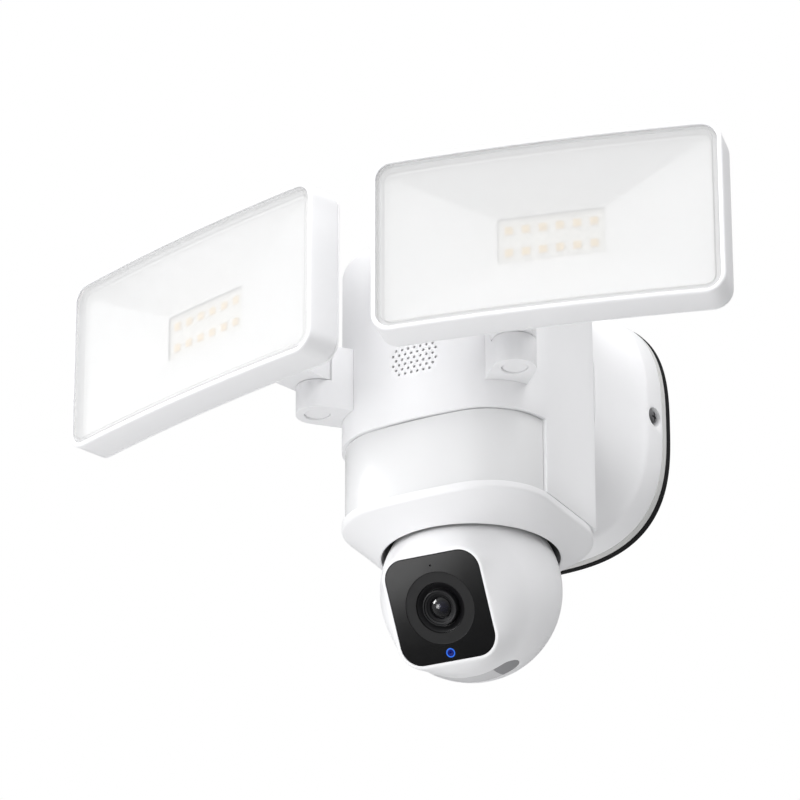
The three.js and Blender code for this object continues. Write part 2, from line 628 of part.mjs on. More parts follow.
/** Ring-shaped light guide in the glass. */
const statusRing = () => ring('y', STATUS_OUTER, STATUS_INNER + 0.15,
  -FACE_FORWARD + 0.1, -FACE_FORWARD + 1, [0, STATUS_Z], 20);

/** Turns a profile of radius and forward distance about the lens axis. */
const turned = (profile, sides) => facingOut(new THREE.LatheGeometry(
  profile.map(([radius, forward]) => new THREE.Vector2(radius, forward)), sides).rotateX(Math.PI));

/** Shallow dish around the lens, behind the glass's hole. */
const lensBezel = () =>
  turned([[7.9, 34.3], [10.4, 36.4], [10.4, 32.5], [7.9, 32.5], [7.9, 34.3]], 32);

const lensBarrel = () => cut(
  rod('y', 7.6, -34.2, -14, [0, 0], 28),
  rod('y', LENS_BORE, -36, -30, [0, 0], 28));

/** Domed front element of the lens. */
const lensElement = () =>
  turned([[0, 33.6], [2, 33.4], [3.6, 32.8], [4.9, 31.8], [4.9, 30.3], [0, 30.3]], 24);

const imageBoard = () => block([-11.5, -13.6, -11.5], [11.5, -12, 11.5]);

// ---- bottom hatch of the ball: a card cover and the sync button beside it
const tilted = (geometry) => geometry.rotateX((HATCH_ANGLE - 90) * DEGREE);

/** Bar with round ends, laid along X through the ball's wall at the hatch. */
function hatchCutter(inset) {
  const half = HATCH_HALF - inset;
  const reach = HATCH_REACH - HATCH_HALF;
  const ends = [-reach, reach].map((x) => rod('z', half, -42, -30, [x, 0], 16));
  return tilted(join(block([-reach, -half, -42], [reach, half, -30]), ...ends));
}

/** A slice of the ball's wall inside the hatch. */
function hatchPiece(from, to) {
  const radius = BALL_RADIUS - 0.2;
  const wall = cut(new THREE.SphereGeometry(radius, 36, 24),
    new THREE.SphereGeometry(radius - BALL_WALL, 36, 24));
  return common(common(wall, hatchCutter(GAP)), block([from, -50, -50], [to, 50, 50]));
}

const cardCover = () => hatchPiece(-HATCH_REACH, HATCH_SPLIT - GAP / 2);
const syncButton = () => hatchPiece(HATCH_SPLIT + GAP / 2, HATCH_REACH);
const cardReader = () => tilted(block([-13, -6, -33], [9, 8, -31]));

/** Rear shell with the slot that lets the stem through as the ball tilts. */
function headRearShell() {
  const shell = common(cut(ballBody(0), ballBody(BALL_WALL)),
    block([-50, -SHELL_SPLIT + GAP / 2, -50], [50, 50, 50]));
  const slotHalf = STEM_RADIUS + 1;
  const swing = [18, 36, 54, 77].map((tilt) =>
    block([-slotHalf, -slotHalf, 20], [slotHalf, slotHalf, 45]).rotateX(-tilt * DEGREE));
  return cut(shell, ...swing);
}

// ---- tilt drive: the gear stays with the stem, and the motor walks round it with the ball
const TILT_GEAR_X = 13;
const TILT_GEAR_WIDTH = 3.5;
const TILT_CENTRE = (GEAR_MODULE * (TILT_GEAR_TEETH + PINION_TEETH)) / 2;

const turnedAcross = (geometry) => geometry.rotateY(Math.PI / 2);

function tiltGear() {
  const wheel = gear(TILT_GEAR_TEETH, 0, TILT_GEAR_X, TILT_GEAR_X + TILT_GEAR_WIDTH);
  return cut(turnedAcross(wheel).rotateX(BALL_TILT * DEGREE), rod('x', AXLE_RADIUS + GAP, 0, 30, [0, 0], 16));
}

function tiltPinion() {
  const wheel = gear(PINION_TEETH, Math.PI + Math.PI / PINION_TEETH,
    TILT_GEAR_X, TILT_GEAR_X + TILT_GEAR_WIDTH);
  const shaft = rod('z', 1.2, TILT_GEAR_X - 3, TILT_GEAR_X + 0.5, [0, 0], 12);
  return moved(turnedAcross(join(wheel, shaft)), 0, 0, -TILT_CENTRE);
}

const tiltMotor = () => cut(
  rod('x', 7.5, -2, TILT_GEAR_X - 1, [0, -TILT_CENTRE], 20),
  rod('x', 1.8, TILT_GEAR_X - 4, TILT_GEAR_X, [0, -TILT_CENTRE], 12));

// ---------------------------------------------------------------- arms and lamp links
/** Moves a piece made about a lamp's vertical axis, facing -Y, to its arm. */
function inArmFrame(side, geometry) {
  return moved(geometry.rotateZ(side * ARM_ANGLE * DEGREE), side * LAMP_PIVOT.x, LAMP_PIVOT.y, 0);
}

/** Arm block with a round pocket for the lamp link. */
function arm(side) {
  const lower = roundEnded(ARM_HALF, 26, ARM_BOTTOM, ARM_SEAT);
  const upper = block([-ARM_HALF, 0, ARM_SEAT - 1], [ARM_HALF, 26, ARM_TOP]);
  const pocket = rod('z', ARM_HALF + 0.6, ARM_SEAT, ARM_TOP + 1, [0, 0], 32);
  const solid = cut(join(lower, cut(upper, pocket)),
    rod('z', PLUG_RADIUS + GAP, ARM_BOTTOM - 1, ARM_BOTTOM + 6.6),
    rod('z', PIVOT_BOLT_RADIUS + GAP, ARM_BOTTOM, ARM_SEAT + 1, [0, 0], 16),
    rod('y', 2.4, 5, 27, [0, -1], 12));
  const housing = loft([atHeight(housingOutline(-GAP), -40), atHeight(housingOutline(-GAP), 40)]);
  return cut(inArmFrame(side, solid), housing);
}

const pivotBolt = (side) => inArmFrame(side, join(
  rod('z', PLUG_RADIUS - 1, ARM_BOTTOM + 3, ARM_BOTTOM + 6.3),
  rod('z', PIVOT_BOLT_RADIUS, ARM_BOTTOM + 6, 5.8, [0, 0], 16)));

const pivotPlug = (side) => inArmFrame(side, rod('z', PLUG_RADIUS, ARM_BOTTOM + 0.2, ARM_BOTTOM + 2.6));

/** Link between the arm and the lamp: knuckle, neck and tilt tongue. */
function lampLink() {
  const bottom = ARM_SEAT + GAP;
  const top = ARM_TOP - 0.2;
  const neck = roundEnded(ARM_HALF, -LINK_REACH + 10.5, bottom, top);
  const tongue = block([-TONGUE_HALF, -LINK_REACH, -TONGUE_RADIUS], [TONGUE_HALF, -10, TONGUE_RADIUS]);
  const nose = rod('x', TONGUE_RADIUS, -TONGUE_HALF, TONGUE_HALF, [-LINK_REACH, 0]);
  return cut(join(neck, tongue, nose),
    rod('z', PIVOT_BOLT_RADIUS + GAP, bottom - 1, 6.1, [0, 0], 16),
    rod('x', TILT_PIN_RADIUS + GAP, -20, 20, [-LINK_REACH, 0], 16));
}

const tiltPin = () => rod('x', TILT_PIN_RADIUS, -ARM_HALF - 0.5, ARM_HALF + 0.5, [-LINK_REACH, 0], 16);

// ---------------------------------------------------------------- floodlights
// Pieces of a lamp are made about the middle of its front, facing -Y. The lamp is bowed.
const bow = (x) => LAMP_BOW * ((2 * x) / LAMP_WIDTH) ** 2;

/** Rounded-rectangle ring of the bowed lamp, at an inset and a depth. */
function lampRing(inset, depth) {
  const radius = Math.max(LAMP_CORNER - inset, 1.5);
  const x = LAMP_WIDTH / 2 - inset - radius;
  const outline = roundedRectangle(LAMP_WIDTH / 2 - inset, LAMP_HEIGHT / 2 - inset, radius, 3);
  const row = [x / 2, 0, -x / 2].map((across) => new THREE.Vector2(across, LAMP_HEIGHT / 2 - inset));
  const upper = outline.slice(0, 4).concat(row, outline.slice(4, 8));
  const lower = outline.slice(8, 12).concat(
    row.map((p) => new THREE.Vector2(-p.x, -p.y)), outline.slice(12, 16));
  return [...upper, ...lower].map((p) => new THREE.Vector3(p.x, depth + bow(p.x), p.y));
}

const lampLoft = (profile, closed) =>
  loft(profile.map(([inset, depth]) => lampRing(inset, depth)), closed);

/** A bowed plate made of upright strips that follow the bow, between two depths. */
function bowedPlate(inset, front, back) {
  const radius = LAMP_CORNER - inset;
  const flatX = LAMP_WIDTH / 2 - inset - radius;
  const flatZ = LAMP_HEIGHT / 2 - inset - radius;
  const turns = [90, 60, 30, 0].map((angle) => flatX + radius * Math.cos(angle * DEGREE));
  const stations = [...turns.map((x) => -x).reverse(), -flatX / 2, 0, flatX / 2, ...turns];
  return loft(stations.map((x) => {
    const past = Math.max(Math.abs(x) - flatX, 0);
    const half = flatZ + Math.sqrt(Math.max(radius ** 2 - past ** 2, 0));
    return [[front, -half], [front, half], [back, half], [back, -half]].map(([y, z]) =>
      new THREE.Vector3(x, y + bow(x), z));
  }));
}

const HOUSING_PROFILE = [
  [1.2, 0], [0.35, 0.35], [0, 1.2], [0, LAMP_DEPTH - 2.3], [2.2, LAMP_DEPTH - 2.3],
  [2.2, 7], [4.8, 7], [4.8, 5], [2.1, 5], [2.1, 0],
];
const lampHousing = () => lampLoft(HOUSING_PROFILE, true);

/** Frosted cover. */
const lampCover = () => bowedPlate(2.4, 0.5, 3);

/** Seal between the cover and its seat. */
const coverSeal = () => lampLoft([[2.5, 3.3], [2.5, 4.7], [4.6, 4.7], [4.6, 3.3]], true);

/** Funnel that narrows from the cover to the board. */
function lampReflector() {
  const outline = (halfWidth, halfHeight, radius, depth) => {
    const x = halfWidth - radius;
    const corners = roundedRectangle(halfWidth, halfHeight, radius, 3);
    const row = [x / 2, 0, -x / 2].map((across) => new THREE.Vector2(across, halfHeight));
    const points = [...corners.slice(0, 4), ...row, ...corners.slice(4, 12),
      ...row.map((p) => new THREE.Vector2(-p.x, -p.y)), ...corners.slice(12, 16)];
    return points.map((p) => new THREE.Vector3(p.x, depth + bow(p.x), p.y));
  };
  const mouth = { width: LAMP_WIDTH / 2 - 5.2, height: LAMP_HEIGHT / 2 - 5.2 };
  return loft([
    outline(mouth.width, mouth.height, 4, 3.6),
    outline(mouth.width, mouth.height, 4, 6.4),
    outline(BOARD_HALF.x + 1.4, BOARD_HALF.y + 1.4, 1.5, BOARD_FRONT + 0.1),
    outline(BOARD_HALF.x - 0.4, BOARD_HALF.y - 0.4, 1, BOARD_FRONT - 0.9),
    outline(mouth.width - 1.6, mouth.height - 1.6, 3, 4.6),
    outline(mouth.width - 1.6, mouth.height - 1.6, 3, 3.6),
  ], true);
}

/** Board with two rows of LEDs. */
function ledBoard() {
  const top = BOARD_FRONT + 0.5;
  const board = block([-BOARD_HALF.x, top, -BOARD_HALF.y], [BOARD_HALF.x, top + 1.4, BOARD_HALF.y]);
  const chips = Array.from({ length: LED_ROWS * LED_COLUMNS }, (_, i) => {
    const x = ((i % LED_COLUMNS) - (LED_COLUMNS - 1) / 2) * LED_PITCH;
    const z = (Math.floor(i / LED_COLUMNS) - (LED_ROWS - 1) / 2) * LED_ROW_PITCH;
    return block([x - LED_HALF, top - 0.8, z - LED_HALF], [x + LED_HALF, top + 0.2, z + LED_HALF]);
  });
  return join(board, ...chips);
}

/** Cast back of the lamp, with cooling ribs and two ears around the tilt pin. */
function lampBack(side) {
  const hinge = -side * LAMP_OUTWARD;
  const rim = LAMP_DEPTH - 2;
  const plate = join(bowedPlate(0, rim, rim + 1), bowedPlate(1.2, rim + 0.5, LAMP_DEPTH));
  const ribs = RIB_PLACES.map((place) => side * place * RIB_PITCH).map((x) => block(
    [x - 0.9, rim + 1, -RIB_HALF_HEIGHT], [x + 0.9, LAMP_DEPTH + 3, RIB_HALF_HEIGHT]));
  const ears = [-1, 1].map((way) => {
    const x0 = hinge + way * (TONGUE_HALF + GAP);
    const x1 = hinge + way * ARM_HALF;
    const [low, high] = [Math.min(x0, x1), Math.max(x0, x1)];
    return join(
      block([low, rim + 1, -LAMP_ABOVE - TONGUE_RADIUS], [high, LAMP_AHEAD, -LAMP_ABOVE + TONGUE_RADIUS]),
      rod('x', TONGUE_RADIUS, low, high, [LAMP_AHEAD, -LAMP_ABOVE], 20));
  });
  const pin = rod('x', TILT_PIN_RADIUS + GAP, hinge - 20, hinge + 20, [LAMP_AHEAD, -LAMP_ABOVE], 16);
  return cut(join(plate, ...ribs, ...ears), pin);
}

// ---------------------------------------------------------------- assembly
const camera = new THREE.Group();

function add(group, name, geometry, material) {
  const mesh = new THREE.Mesh(geometry, material);
  mesh.name = name;
  group.add(mesh);
}

function buildBase() {
  add(camera, 'wall_seal', wallSeal(), BLACK_FOAM);
  add(camera, 'mounting_plate', mountingPlate(), WHITE_INNER);
  add(camera, 'wire_grommet', wireGrommet(), DARK_RUBBER);
  add(camera, 'terminal_block', terminalBlock(), NYLON);
  add(camera, 'base_shell', baseShell(), WHITE_SHELL);
  add(camera, 'lock_screw_right', lockScrew(1), STEEL);
  add(camera, 'lock_screw_left', lockScrew(-1), STEEL);
}

function buildHousing() {
  add(camera, 'upper_housing', upperHousing(), WHITE_SHELL);
  add(camera, 'lower_collar', lowerCollar(), WHITE_SHELL);
  add(camera, 'motion_sensor_window', sensorWindow(), WHITE_LENS);
  add(camera, 'motion_sensor', motionSensor(), STEEL);
  add(camera, 'sensor_board', sensorBoard(), GREEN_BOARD);
  add(camera, 'speaker', speaker(), BLACK_PLASTIC);
  add(camera, 'main_board', mainBoard(), GREEN_BOARD);
  add(camera, 'power_module', powerModule(), BLACK_PLASTIC);
  add(camera, 'heat_spreader', heatSpreader(), ALUMINIUM);
  add(camera, 'pivot_deck', pivotDeck(), WHITE_INNER);
  add(camera, 'pan_bearing', panBearing(), NYLON);
  add(camera, 'pan_retainer', panRetainer(), NYLON);
  add(camera, 'pan_turntable', panTurntable(), NYLON);
  add(camera, 'pan_motor', panMotor(), STEEL);
  add(camera, 'pan_pinion', panPinion(), NYLON);
}

function buildBall() {
  const pan = new THREE.Group();
  pan.position.set(0, PAN_AXIS_Y, BALL_CENTRE_Z);
  pan.rotation.z = BALL_PAN * DEGREE;
  const tilt = new THREE.Group();
  tilt.rotation.x = BALL_TILT * DEGREE;
  pan.add(tilt);
  camera.add(pan);
  add(pan, 'tilt_stem', tiltStem(), BLACK_PLASTIC);
  add(pan, 'tilt_gear', tiltGear(), NYLON);
  add(tilt, 'tilt_axle', tiltAxle(), STEEL);
  add(tilt, 'head_front_shell', headFrontShell(), WHITE_SHELL);
  add(tilt, 'head_rear_shell', headRearShell(), WHITE_SHELL);
  add(tilt, 'front_glass', frontGlass(), BLACK_GLASS);
  add(tilt, 'lens_bezel', lensBezel(), DARK_RING);
  add(tilt, 'lens_barrel', lensBarrel(), BLACK_PLASTIC);
  add(tilt, 'lens_element', lensElement(), LENS_GLASS);
  add(tilt, 'image_board', imageBoard(), GREEN_BOARD);
  add(tilt, 'status_ring', statusRing(), BLUE_LIGHT);
  add(tilt, 'tilt_motor', tiltMotor(), STEEL);
  add(tilt, 'tilt_pinion', tiltPinion(), NYLON);
  add(tilt, 'card_cover', cardCover(), GREY_RUBBER);
  add(tilt, 'card_reader', cardReader(), STEEL);
  add(tilt, 'sync_button', syncButton(), DARK_RUBBER);
}

function buildLamp(side, word) {
  add(camera, `arm_${word}`, arm(side), WHITE_SHELL);
  add(camera, `pivot_bolt_${word}`, pivotBolt(side), STEEL);
  add(camera, `pivot_plug_${word}`, pivotPlug(side), WHITE_SHELL);
  const turning = new THREE.Group();
  turning.position.set(side * LAMP_PIVOT.x, LAMP_PIVOT.y, 0);
  turning.rotation.z = side * LAMP_YAW[word] * DEGREE;
  camera.add(turning);
  add(turning, `lamp_link_${word}`, lampLink(), WHITE_SHELL);
  add(turning, `tilt_pin_${word}`, tiltPin(), STEEL);
  const lamp = new THREE.Group();
  lamp.position.set(side * LAMP_OUTWARD, -LINK_REACH - LAMP_AHEAD, LAMP_ABOVE);
  turning.add(lamp);
  add(lamp, `lamp_housing_${word}`, lampHousing(), LAMP_WHITE);
  add(lamp, `lamp_cover_${word}`, lampCover(), DIFFUSER);
  add(lamp, `cover_seal_${word}`, coverSeal(), GREY_RUBBER);
  add(lamp, `lamp_reflector_${word}`, lampReflector(), REFLECTOR);
  add(lamp, `led_board_${word}`, ledBoard(), WHITE_BOARD);
  add(lamp, `lamp_back_${word}`, lampBack(side), LAMP_WHITE);
}

buildBase();
buildHousing();
buildBall();
buildLamp(1, 'right');
buildLamp(-1, 'left');

export default camera;
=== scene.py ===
"""Looks of the floodlight security camera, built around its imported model.

Shapes are worked out in millimetres, in the model's own frame or in a piece's local frame, which
faces -Y with +Z up, and are scaled to metres when a mesh is made.
"""

import json
import math

import bmesh
import bpy
import numpy as np
from mathutils import Matrix, Vector


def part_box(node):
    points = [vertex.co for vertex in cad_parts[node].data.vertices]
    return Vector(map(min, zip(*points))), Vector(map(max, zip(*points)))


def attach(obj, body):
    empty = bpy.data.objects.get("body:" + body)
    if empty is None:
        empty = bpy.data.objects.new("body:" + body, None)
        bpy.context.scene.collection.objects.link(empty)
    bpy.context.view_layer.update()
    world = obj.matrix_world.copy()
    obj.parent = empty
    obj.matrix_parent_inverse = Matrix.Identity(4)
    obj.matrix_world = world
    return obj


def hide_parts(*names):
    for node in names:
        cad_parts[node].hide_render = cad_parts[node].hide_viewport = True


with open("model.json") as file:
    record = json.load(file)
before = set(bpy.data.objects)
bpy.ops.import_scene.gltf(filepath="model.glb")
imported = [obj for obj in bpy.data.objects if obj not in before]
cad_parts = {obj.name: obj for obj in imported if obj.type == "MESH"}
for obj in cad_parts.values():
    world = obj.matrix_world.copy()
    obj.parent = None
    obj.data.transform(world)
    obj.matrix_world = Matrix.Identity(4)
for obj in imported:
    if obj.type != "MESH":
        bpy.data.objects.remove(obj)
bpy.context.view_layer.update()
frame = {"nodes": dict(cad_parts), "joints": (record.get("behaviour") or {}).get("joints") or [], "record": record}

MM = 0.001
JOINTS = {joint["name"]: joint for joint in frame["joints"]}
FORWARD = np.array([0.0, -1.0, 0.0])


# ------------------------------------------------------------------ places in the frame
def low(node):
    """Lowest corner of a CAD node, in millimetres."""
    return np.array(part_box(node)[0]) / MM


def high(node):
    """Highest corner of a CAD node, in millimetres."""
    return np.array(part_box(node)[1]) / MM


def middle(node):
    """Middle of a CAD node's box, in millimetres."""
    return (low(node) + high(node)) / 2


def joint_place(joint, x_joint=None, tilt=0.0):
    """Matrix of a local frame at a joint, with local X along the axis of x_joint, then tilted down."""
    position = Vector(JOINTS[joint]["pos_m"]) / MM
    x_axis = Vector(JOINTS[x_joint or joint]["axis"]).normalized()
    z_axis = Vector((0, 0, 1))
    y_axis = z_axis.cross(x_axis)
    turn = Matrix((x_axis, y_axis, z_axis)).transposed().to_4x4()
    return Matrix.Translation(position) @ turn @ Matrix.Rotation(math.radians(tilt), 4, "X")


def local_box(node, place):
    """Lowest and highest corners of a CAD node in a local frame, in millimetres."""
    inverse = place.inverted()
    points = np.array([inverse @ (v.co / MM) for v in frame["nodes"][node].data.vertices])
    return points.min(0), points.max(0)


def body_of(node):
    return next(name for name, members in frame["record"]["behaviour"]["bodies"].items() if node in members)


def slot_of(node):
    return next(s["material_slot"] for s in frame["record"]["subparts"] if s["node"] == node)


# ------------------------------------------------------------------ outlines
ELLIPSE_SIDES = 176


def arc(cx, cy, radius, start, end, steps):
    """Points on an arc between two angles in degrees."""
    angles = np.radians(np.linspace(start, end, steps + 1))
    return np.stack([cx + radius * np.cos(angles), cy + radius * np.sin(angles)], 1)


def round_outline(cx, cy, radius, sides):
    """Points of a whole circle, without the first one again at the end."""
    return arc(cx, cy, radius, 0, 360, sides)[:-1]


def at_height(outline, z):
    return np.column_stack([outline, np.full(len(outline), float(z))])


def at_depth(outline, y):
    return np.column_stack([outline[:, 0], np.full(len(outline), float(y)), outline[:, 1]])


def superellipse(half, power):
    """A square with round corners that get tighter as the power grows."""
    angles = (np.arange(ELLIPSE_SIDES) + 0.5) / ELLIPSE_SIDES * 2 * math.pi
    waves = np.stack([np.cos(angles), np.sin(angles)], 1)
    return half * (np.sign(waves) * np.abs(waves) ** (2 / power))


def rounded_rectangle(half_width, half_height, radius, steps=12):
    x, y = half_width - radius, half_height - radius
    corners = [(x, y, 0), (-x, y, 90), (-x, -y, 180), (x, -y, 270)]
    return np.concatenate([arc(cx, cy, radius, a, a + 90, steps) for cx, cy, a in corners])


def stadium(half, reach):
    """Outline of a bar with round ends, along X."""
    x = reach - half
    return np.concatenate([arc(x, 0, half, -90, 90, 20), arc(-x, 0, half, 90, 270, 20)])


def bezier(a, b, c, steps):
    """Quadratic curve from a to c, pulled towards b."""
    t = np.linspace(0, 1, steps + 1)[:, None]
    a, b, c = np.array(a, float), np.array(b, float), np.array(c, float)
    return (1 - t) ** 2 * a + 2 * t * (1 - t) * b + t**2 * c


def softened(corners, radius, steps=4):
    """A polyline with each inner corner rounded by a curve that starts a given length before it."""
    corners = [np.array(c, float) for c in corners]
    points = [corners[0]]
    for before, corner, after in zip(corners, corners[1:], corners[2:]):
        to_before, to_after = before - corner, after - corner
        reach = min(radius, np.linalg.norm(to_before) / 2.01, np.linalg.norm(to_after) / 2.01)
        start = corner + to_before / np.linalg.norm(to_before) * reach
        end = corner + to_after / np.linalg.norm(to_after) * reach
        points.extend(bezier(start, corner, end, steps))
    return [*points, corners[-1]]


def ring_profile(corners, radius, steps=3):
    """A closed polyline with all its corners rounded."""
    looped = [*corners[-1:], *corners, *corners[:1]]
    return softened(looped, radius, steps)[1:-1]


# ------------------------------------------------------------------ meshes
def in_scene(name, data):
    """A new object in the scene."""
    made = bpy.data.objects.new(name, data)
    bpy.context.scene.collection.objects.link(made)
    return made


def make(name, vertices, faces, place=None):
    """A mesh object from vertices in millimetres, with its faces pointing out."""
    mesh = bpy.data.meshes.new(name)
    mesh.from_pydata([tuple(v) for v in vertices], [], [list(f) for f in faces])
    if place is not None:
        mesh.transform(place)
    mesh.transform(Matrix.Scale(MM, 4))
    work = bmesh.new()
    work.from_mesh(mesh)
    bmesh.ops.remove_doubles(work, verts=work.verts, dist=1e-7)
    bmesh.ops.recalc_face_normals(work, faces=work.faces)
    work.to_mesh(mesh)
    work.free()
    return in_scene(name, mesh)


def loft(name, rings, place=None, closed=False, strips=False):
    """
    Skins rings with equally many points. The ends are closed with a flat face, or with strips from
    the first half of the ring to the second when the ends are bowed, or the row closes on itself.
    """
    rings = [np.asarray(r, float) for r in rings]
    count = len(rings[0])
    faces = []
    for band in range(len(rings) if closed else len(rings) - 1):
        a, b = band * count, (band + 1) % len(rings) * count
        faces.extend((a + i, a + (i + 1) % count, b + (i + 1) % count, b + i) for i in range(count))
    if not closed:
        for start in (0, (len(rings) - 1) * count):
            if strips:
                faces.extend((start + i, start + i + 1, start + count - 2 - i, start + count - 1 - i)
                             for i in range(count // 2 - 1))
            else:
                faces.append(range(start, start + count))
    return make(name, np.concatenate(rings), faces, place)


def box_mesh(name, lowest, highest, place=None):
    (x0, y0, z0), (x1, y1, z1) = lowest, highest
    outline = np.array([[x0, y0], [x1, y0], [x1, y1], [x0, y1]])
    return loft(name, [at_height(outline, z0), at_height(outline, z1)], place)


def rod(name, axis, radius, start, end, centre=(0, 0), sides=48, place=None):
    """A cylinder along an axis."""
    circle = round_outline(*centre, radius, sides)
    stations = [np.column_stack([circle, np.full(sides, float(t))]) for t in (start, end)]
    order = {"x": [2, 0, 1], "y": [0, 2, 1], "z": [0, 1, 2]}[axis]
    return loft(name, [s[:, order] for s in stations], place)


def turned(name, profile, place=None, sides=96, closed=True):
    """Turns a profile of radius and forward distance about the local forward axis."""
    rings = [at_depth(round_outline(0, 0, max(r, 0.01), sides), -forward) for r, forward in profile]
    return loft(name, rings, place, closed=closed)


def ball(name, radius, steps, sides, place=None):
    """A ball whose poles lie along the local forward axis."""
    angles = np.linspace(0.001, math.pi - 0.001, steps)
    profile = [radius * np.array([math.sin(a), math.cos(a)]) for a in angles]
    return turned(name, profile, place, sides, closed=False)


def final_mesh(piece):
    """Applies the piece's modifiers."""
    depsgraph = bpy.context.evaluated_depsgraph_get()
    mesh = bpy.data.meshes.new_from_object(piece.evaluated_get(depsgraph), depsgraph=depsgraph)
    old = piece.data
    piece.modifiers.clear()
    piece.data = mesh
    bpy.data.meshes.remove(old)
    mesh.name = piece.name
    return piece


def combined(piece, operation, *tools):
    """Cuts or joins a piece with tools, which are used up."""
    for tool in tools:
        modifier = piece.modifiers.new("combine", "BOOLEAN")
        modifier.operation = operation
        modifier.solver = "EXACT"
        modifier.object = tool
    final_mesh(piece)
    for tool in tools:
        bpy.data.objects.remove(tool)
    return piece


def cut(piece, *tools):
    return combined(piece, "DIFFERENCE", *tools)


def join(piece, *tools):
    return combined(piece, "UNION", *tools)


def group(name, objects):
    """Puts separate solids that don't touch into one mesh."""
    work = bmesh.new()
    for part in objects:
        work.from_mesh(part.data)
        bpy.data.objects.remove(part)
    mesh = bpy.data.meshes.new(name)
    work.to_mesh(mesh)
    work.free()
    return in_scene(name, mesh)


def cleaned(piece):
    """Merges the slivers that cutting leaves."""
    distance = 0.004 * MM
    work = bmesh.new()
    work.from_mesh(piece.data)
    bmesh.ops.remove_doubles(work, verts=work.verts, dist=distance)
    bmesh.ops.dissolve_degenerate(work, edges=work.edges, dist=distance)
    work.to_mesh(piece.data)
    work.free()
    return piece


def bevelled(piece, width, segments=3, angle=35):
    """Rounds the piece's sharp edges."""
    cleaned(piece)
    modifier = piece.modifiers.new("edges", "BEVEL")
    modifier.width = width * MM
    modifier.segments = segments
    modifier.limit_method = "ANGLE"
    modifier.angle_limit = math.radians(angle)
    modifier.miter_outer = "MITER_ARC"
    modifier.harden_normals = False
    return final_mesh(piece)


def smooth(piece, angle=32):
    """Smooth shading, with edges sharper than the angle kept sharp."""
    piece.data.shade_smooth()
    piece.data.set_sharp_from_angle(angle=math.radians(angle))
    return piece


def dressed(piece, material, angle):
    """Gives a piece its shading and its only material."""
    smooth(piece, angle)
    piece.data.materials.clear()
    piece.data.materials.append(material)


def stands_for(piece, node, material, angle=32):
    """The piece replaces a CAD node, on the node's body."""
    dressed(piece, material, angle)
    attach(piece, body_of(node))
    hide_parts(node)
    return piece


def extra(piece, body, material, angle=32):
    """A piece that only the looks have."""
    dressed(piece, material, angle)
    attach(piece, body)
    return piece


# ------------------------------------------------------------------ materials
def new_material(name):
    """A material with its nodes, links and principled shader."""
    material = bpy.data.materials.new(name)
    material.use_nodes = True
    nodes = material.node_tree.nodes
    return material, nodes, material.node_tree.links, nodes["Principled BSDF"]


def fill(node, values):
    """Sets constants directly on a node's sockets."""
    for socket, value in values.items():
        node.inputs[socket].default_value = value
    return node


def noise(nodes, links, scale, detail, stretch=(1, 1, 1)):
    """Noise over the piece's own coordinates; scale is in bumps per metre."""
    place = nodes.new("ShaderNodeTexCoord")
    mapping = fill(nodes.new("ShaderNodeMapping"), {"Scale": stretch})
    texture = fill(nodes.new("ShaderNodeTexNoise"), {"Scale": scale, "Detail": detail})
    links.new(place.outputs["Object"], mapping.inputs["Vector"])
    links.new(mapping.outputs["Vector"], texture.inputs["Vector"])
    return texture.outputs["Fac"]


def spread(nodes, links, source, lowest, highest):
    """Maps the middle of a noise to a range of values."""
    span = nodes.new("ShaderNodeMapRange")
    fill(span, {"From Min": 0.3, "From Max": 0.7, "To Min": lowest, "To Max": highest})
    links.new(source, span.inputs["Value"])
    return span.outputs["Result"]


def shaded(nodes, links, source, dark, light):
    """Mixes two colours by a noise."""
    mix = nodes.new("ShaderNodeMix")
    mix.data_type = "RGBA"
    fill(mix, {"A": (*dark, 1), "B": (*light, 1)})
    links.new(source, mix.inputs["Factor"])
    return mix.outputs["Result"]


def bumped(nodes, links, shader, source, height):
    """Bumps with a height in millimetres."""
    bump = fill(nodes.new("ShaderNodeBump"), {"Strength": 1.0, "Distance": height * MM})
    links.new(source, bump.inputs["Height"])
    links.new(bump.outputs["Normal"], shader.inputs["Normal"])


def moulded(name, color, roughness, grain=1500, grain_height=0.012, variation=0.012, wear=0.03):
    """Moulded plastic or rubber: fine grain, slightly uneven gloss and colour."""
    material, nodes, links, shader = new_material(name)
    patches = noise(nodes, links, 55, 3)
    dark = [c * (1 - variation) for c in color]
    light = [min(c * (1 + variation), 1) for c in color]
    links.new(shaded(nodes, links, patches, dark, light), shader.inputs["Base Color"])
    handling = noise(nodes, links, 260, 4)
    links.new(spread(nodes, links, handling, roughness - wear, roughness + wear), shader.inputs["Roughness"])
    bumped(nodes, links, shader, noise(nodes, links, grain, 2), grain_height)
    return material


def shader_of(material):
    return material.node_tree.nodes["Principled BSDF"]


def matte(material):
    """The material with weaker reflections."""
    fill(shader_of(material), {"Specular IOR Level": 0.25})
    return material


def metal(name, color, roughness, stretch=(1, 1, 1)):
    """Plated or milled metal with fine marks, which a stretch draws out along one direction."""
    material, nodes, links, shader = new_material(name)
    marks = noise(nodes, links, 900, 4, stretch)
    links.new(shaded(nodes, links, marks, [c * 0.86 for c in color], color), shader.inputs["Base Color"])
    links.new(spread(nodes, links, marks, roughness - 0.06, roughness + 0.08), shader.inputs["Roughness"])
    bumped(nodes, links, shader, marks, 0.004)
    fill(shader, {"Metallic": 1.0})
    return material


def polished(name, color, roughness, specular):
    """Dark glass with the faintest smears in its gloss."""
    material, nodes, links, shader = new_material(name)
    patches = noise(nodes, links, 90, 2)
    links.new(shaded(nodes, links, patches, [c * 0.9 for c in color], color), shader.inputs["Base Color"])
    smears = noise(nodes, links, 160, 3)
    links.new(spread(nodes, links, smears, roughness, roughness + 0.02), shader.inputs["Roughness"])
    fill(shader, {"Specular IOR Level": specular})
    return material


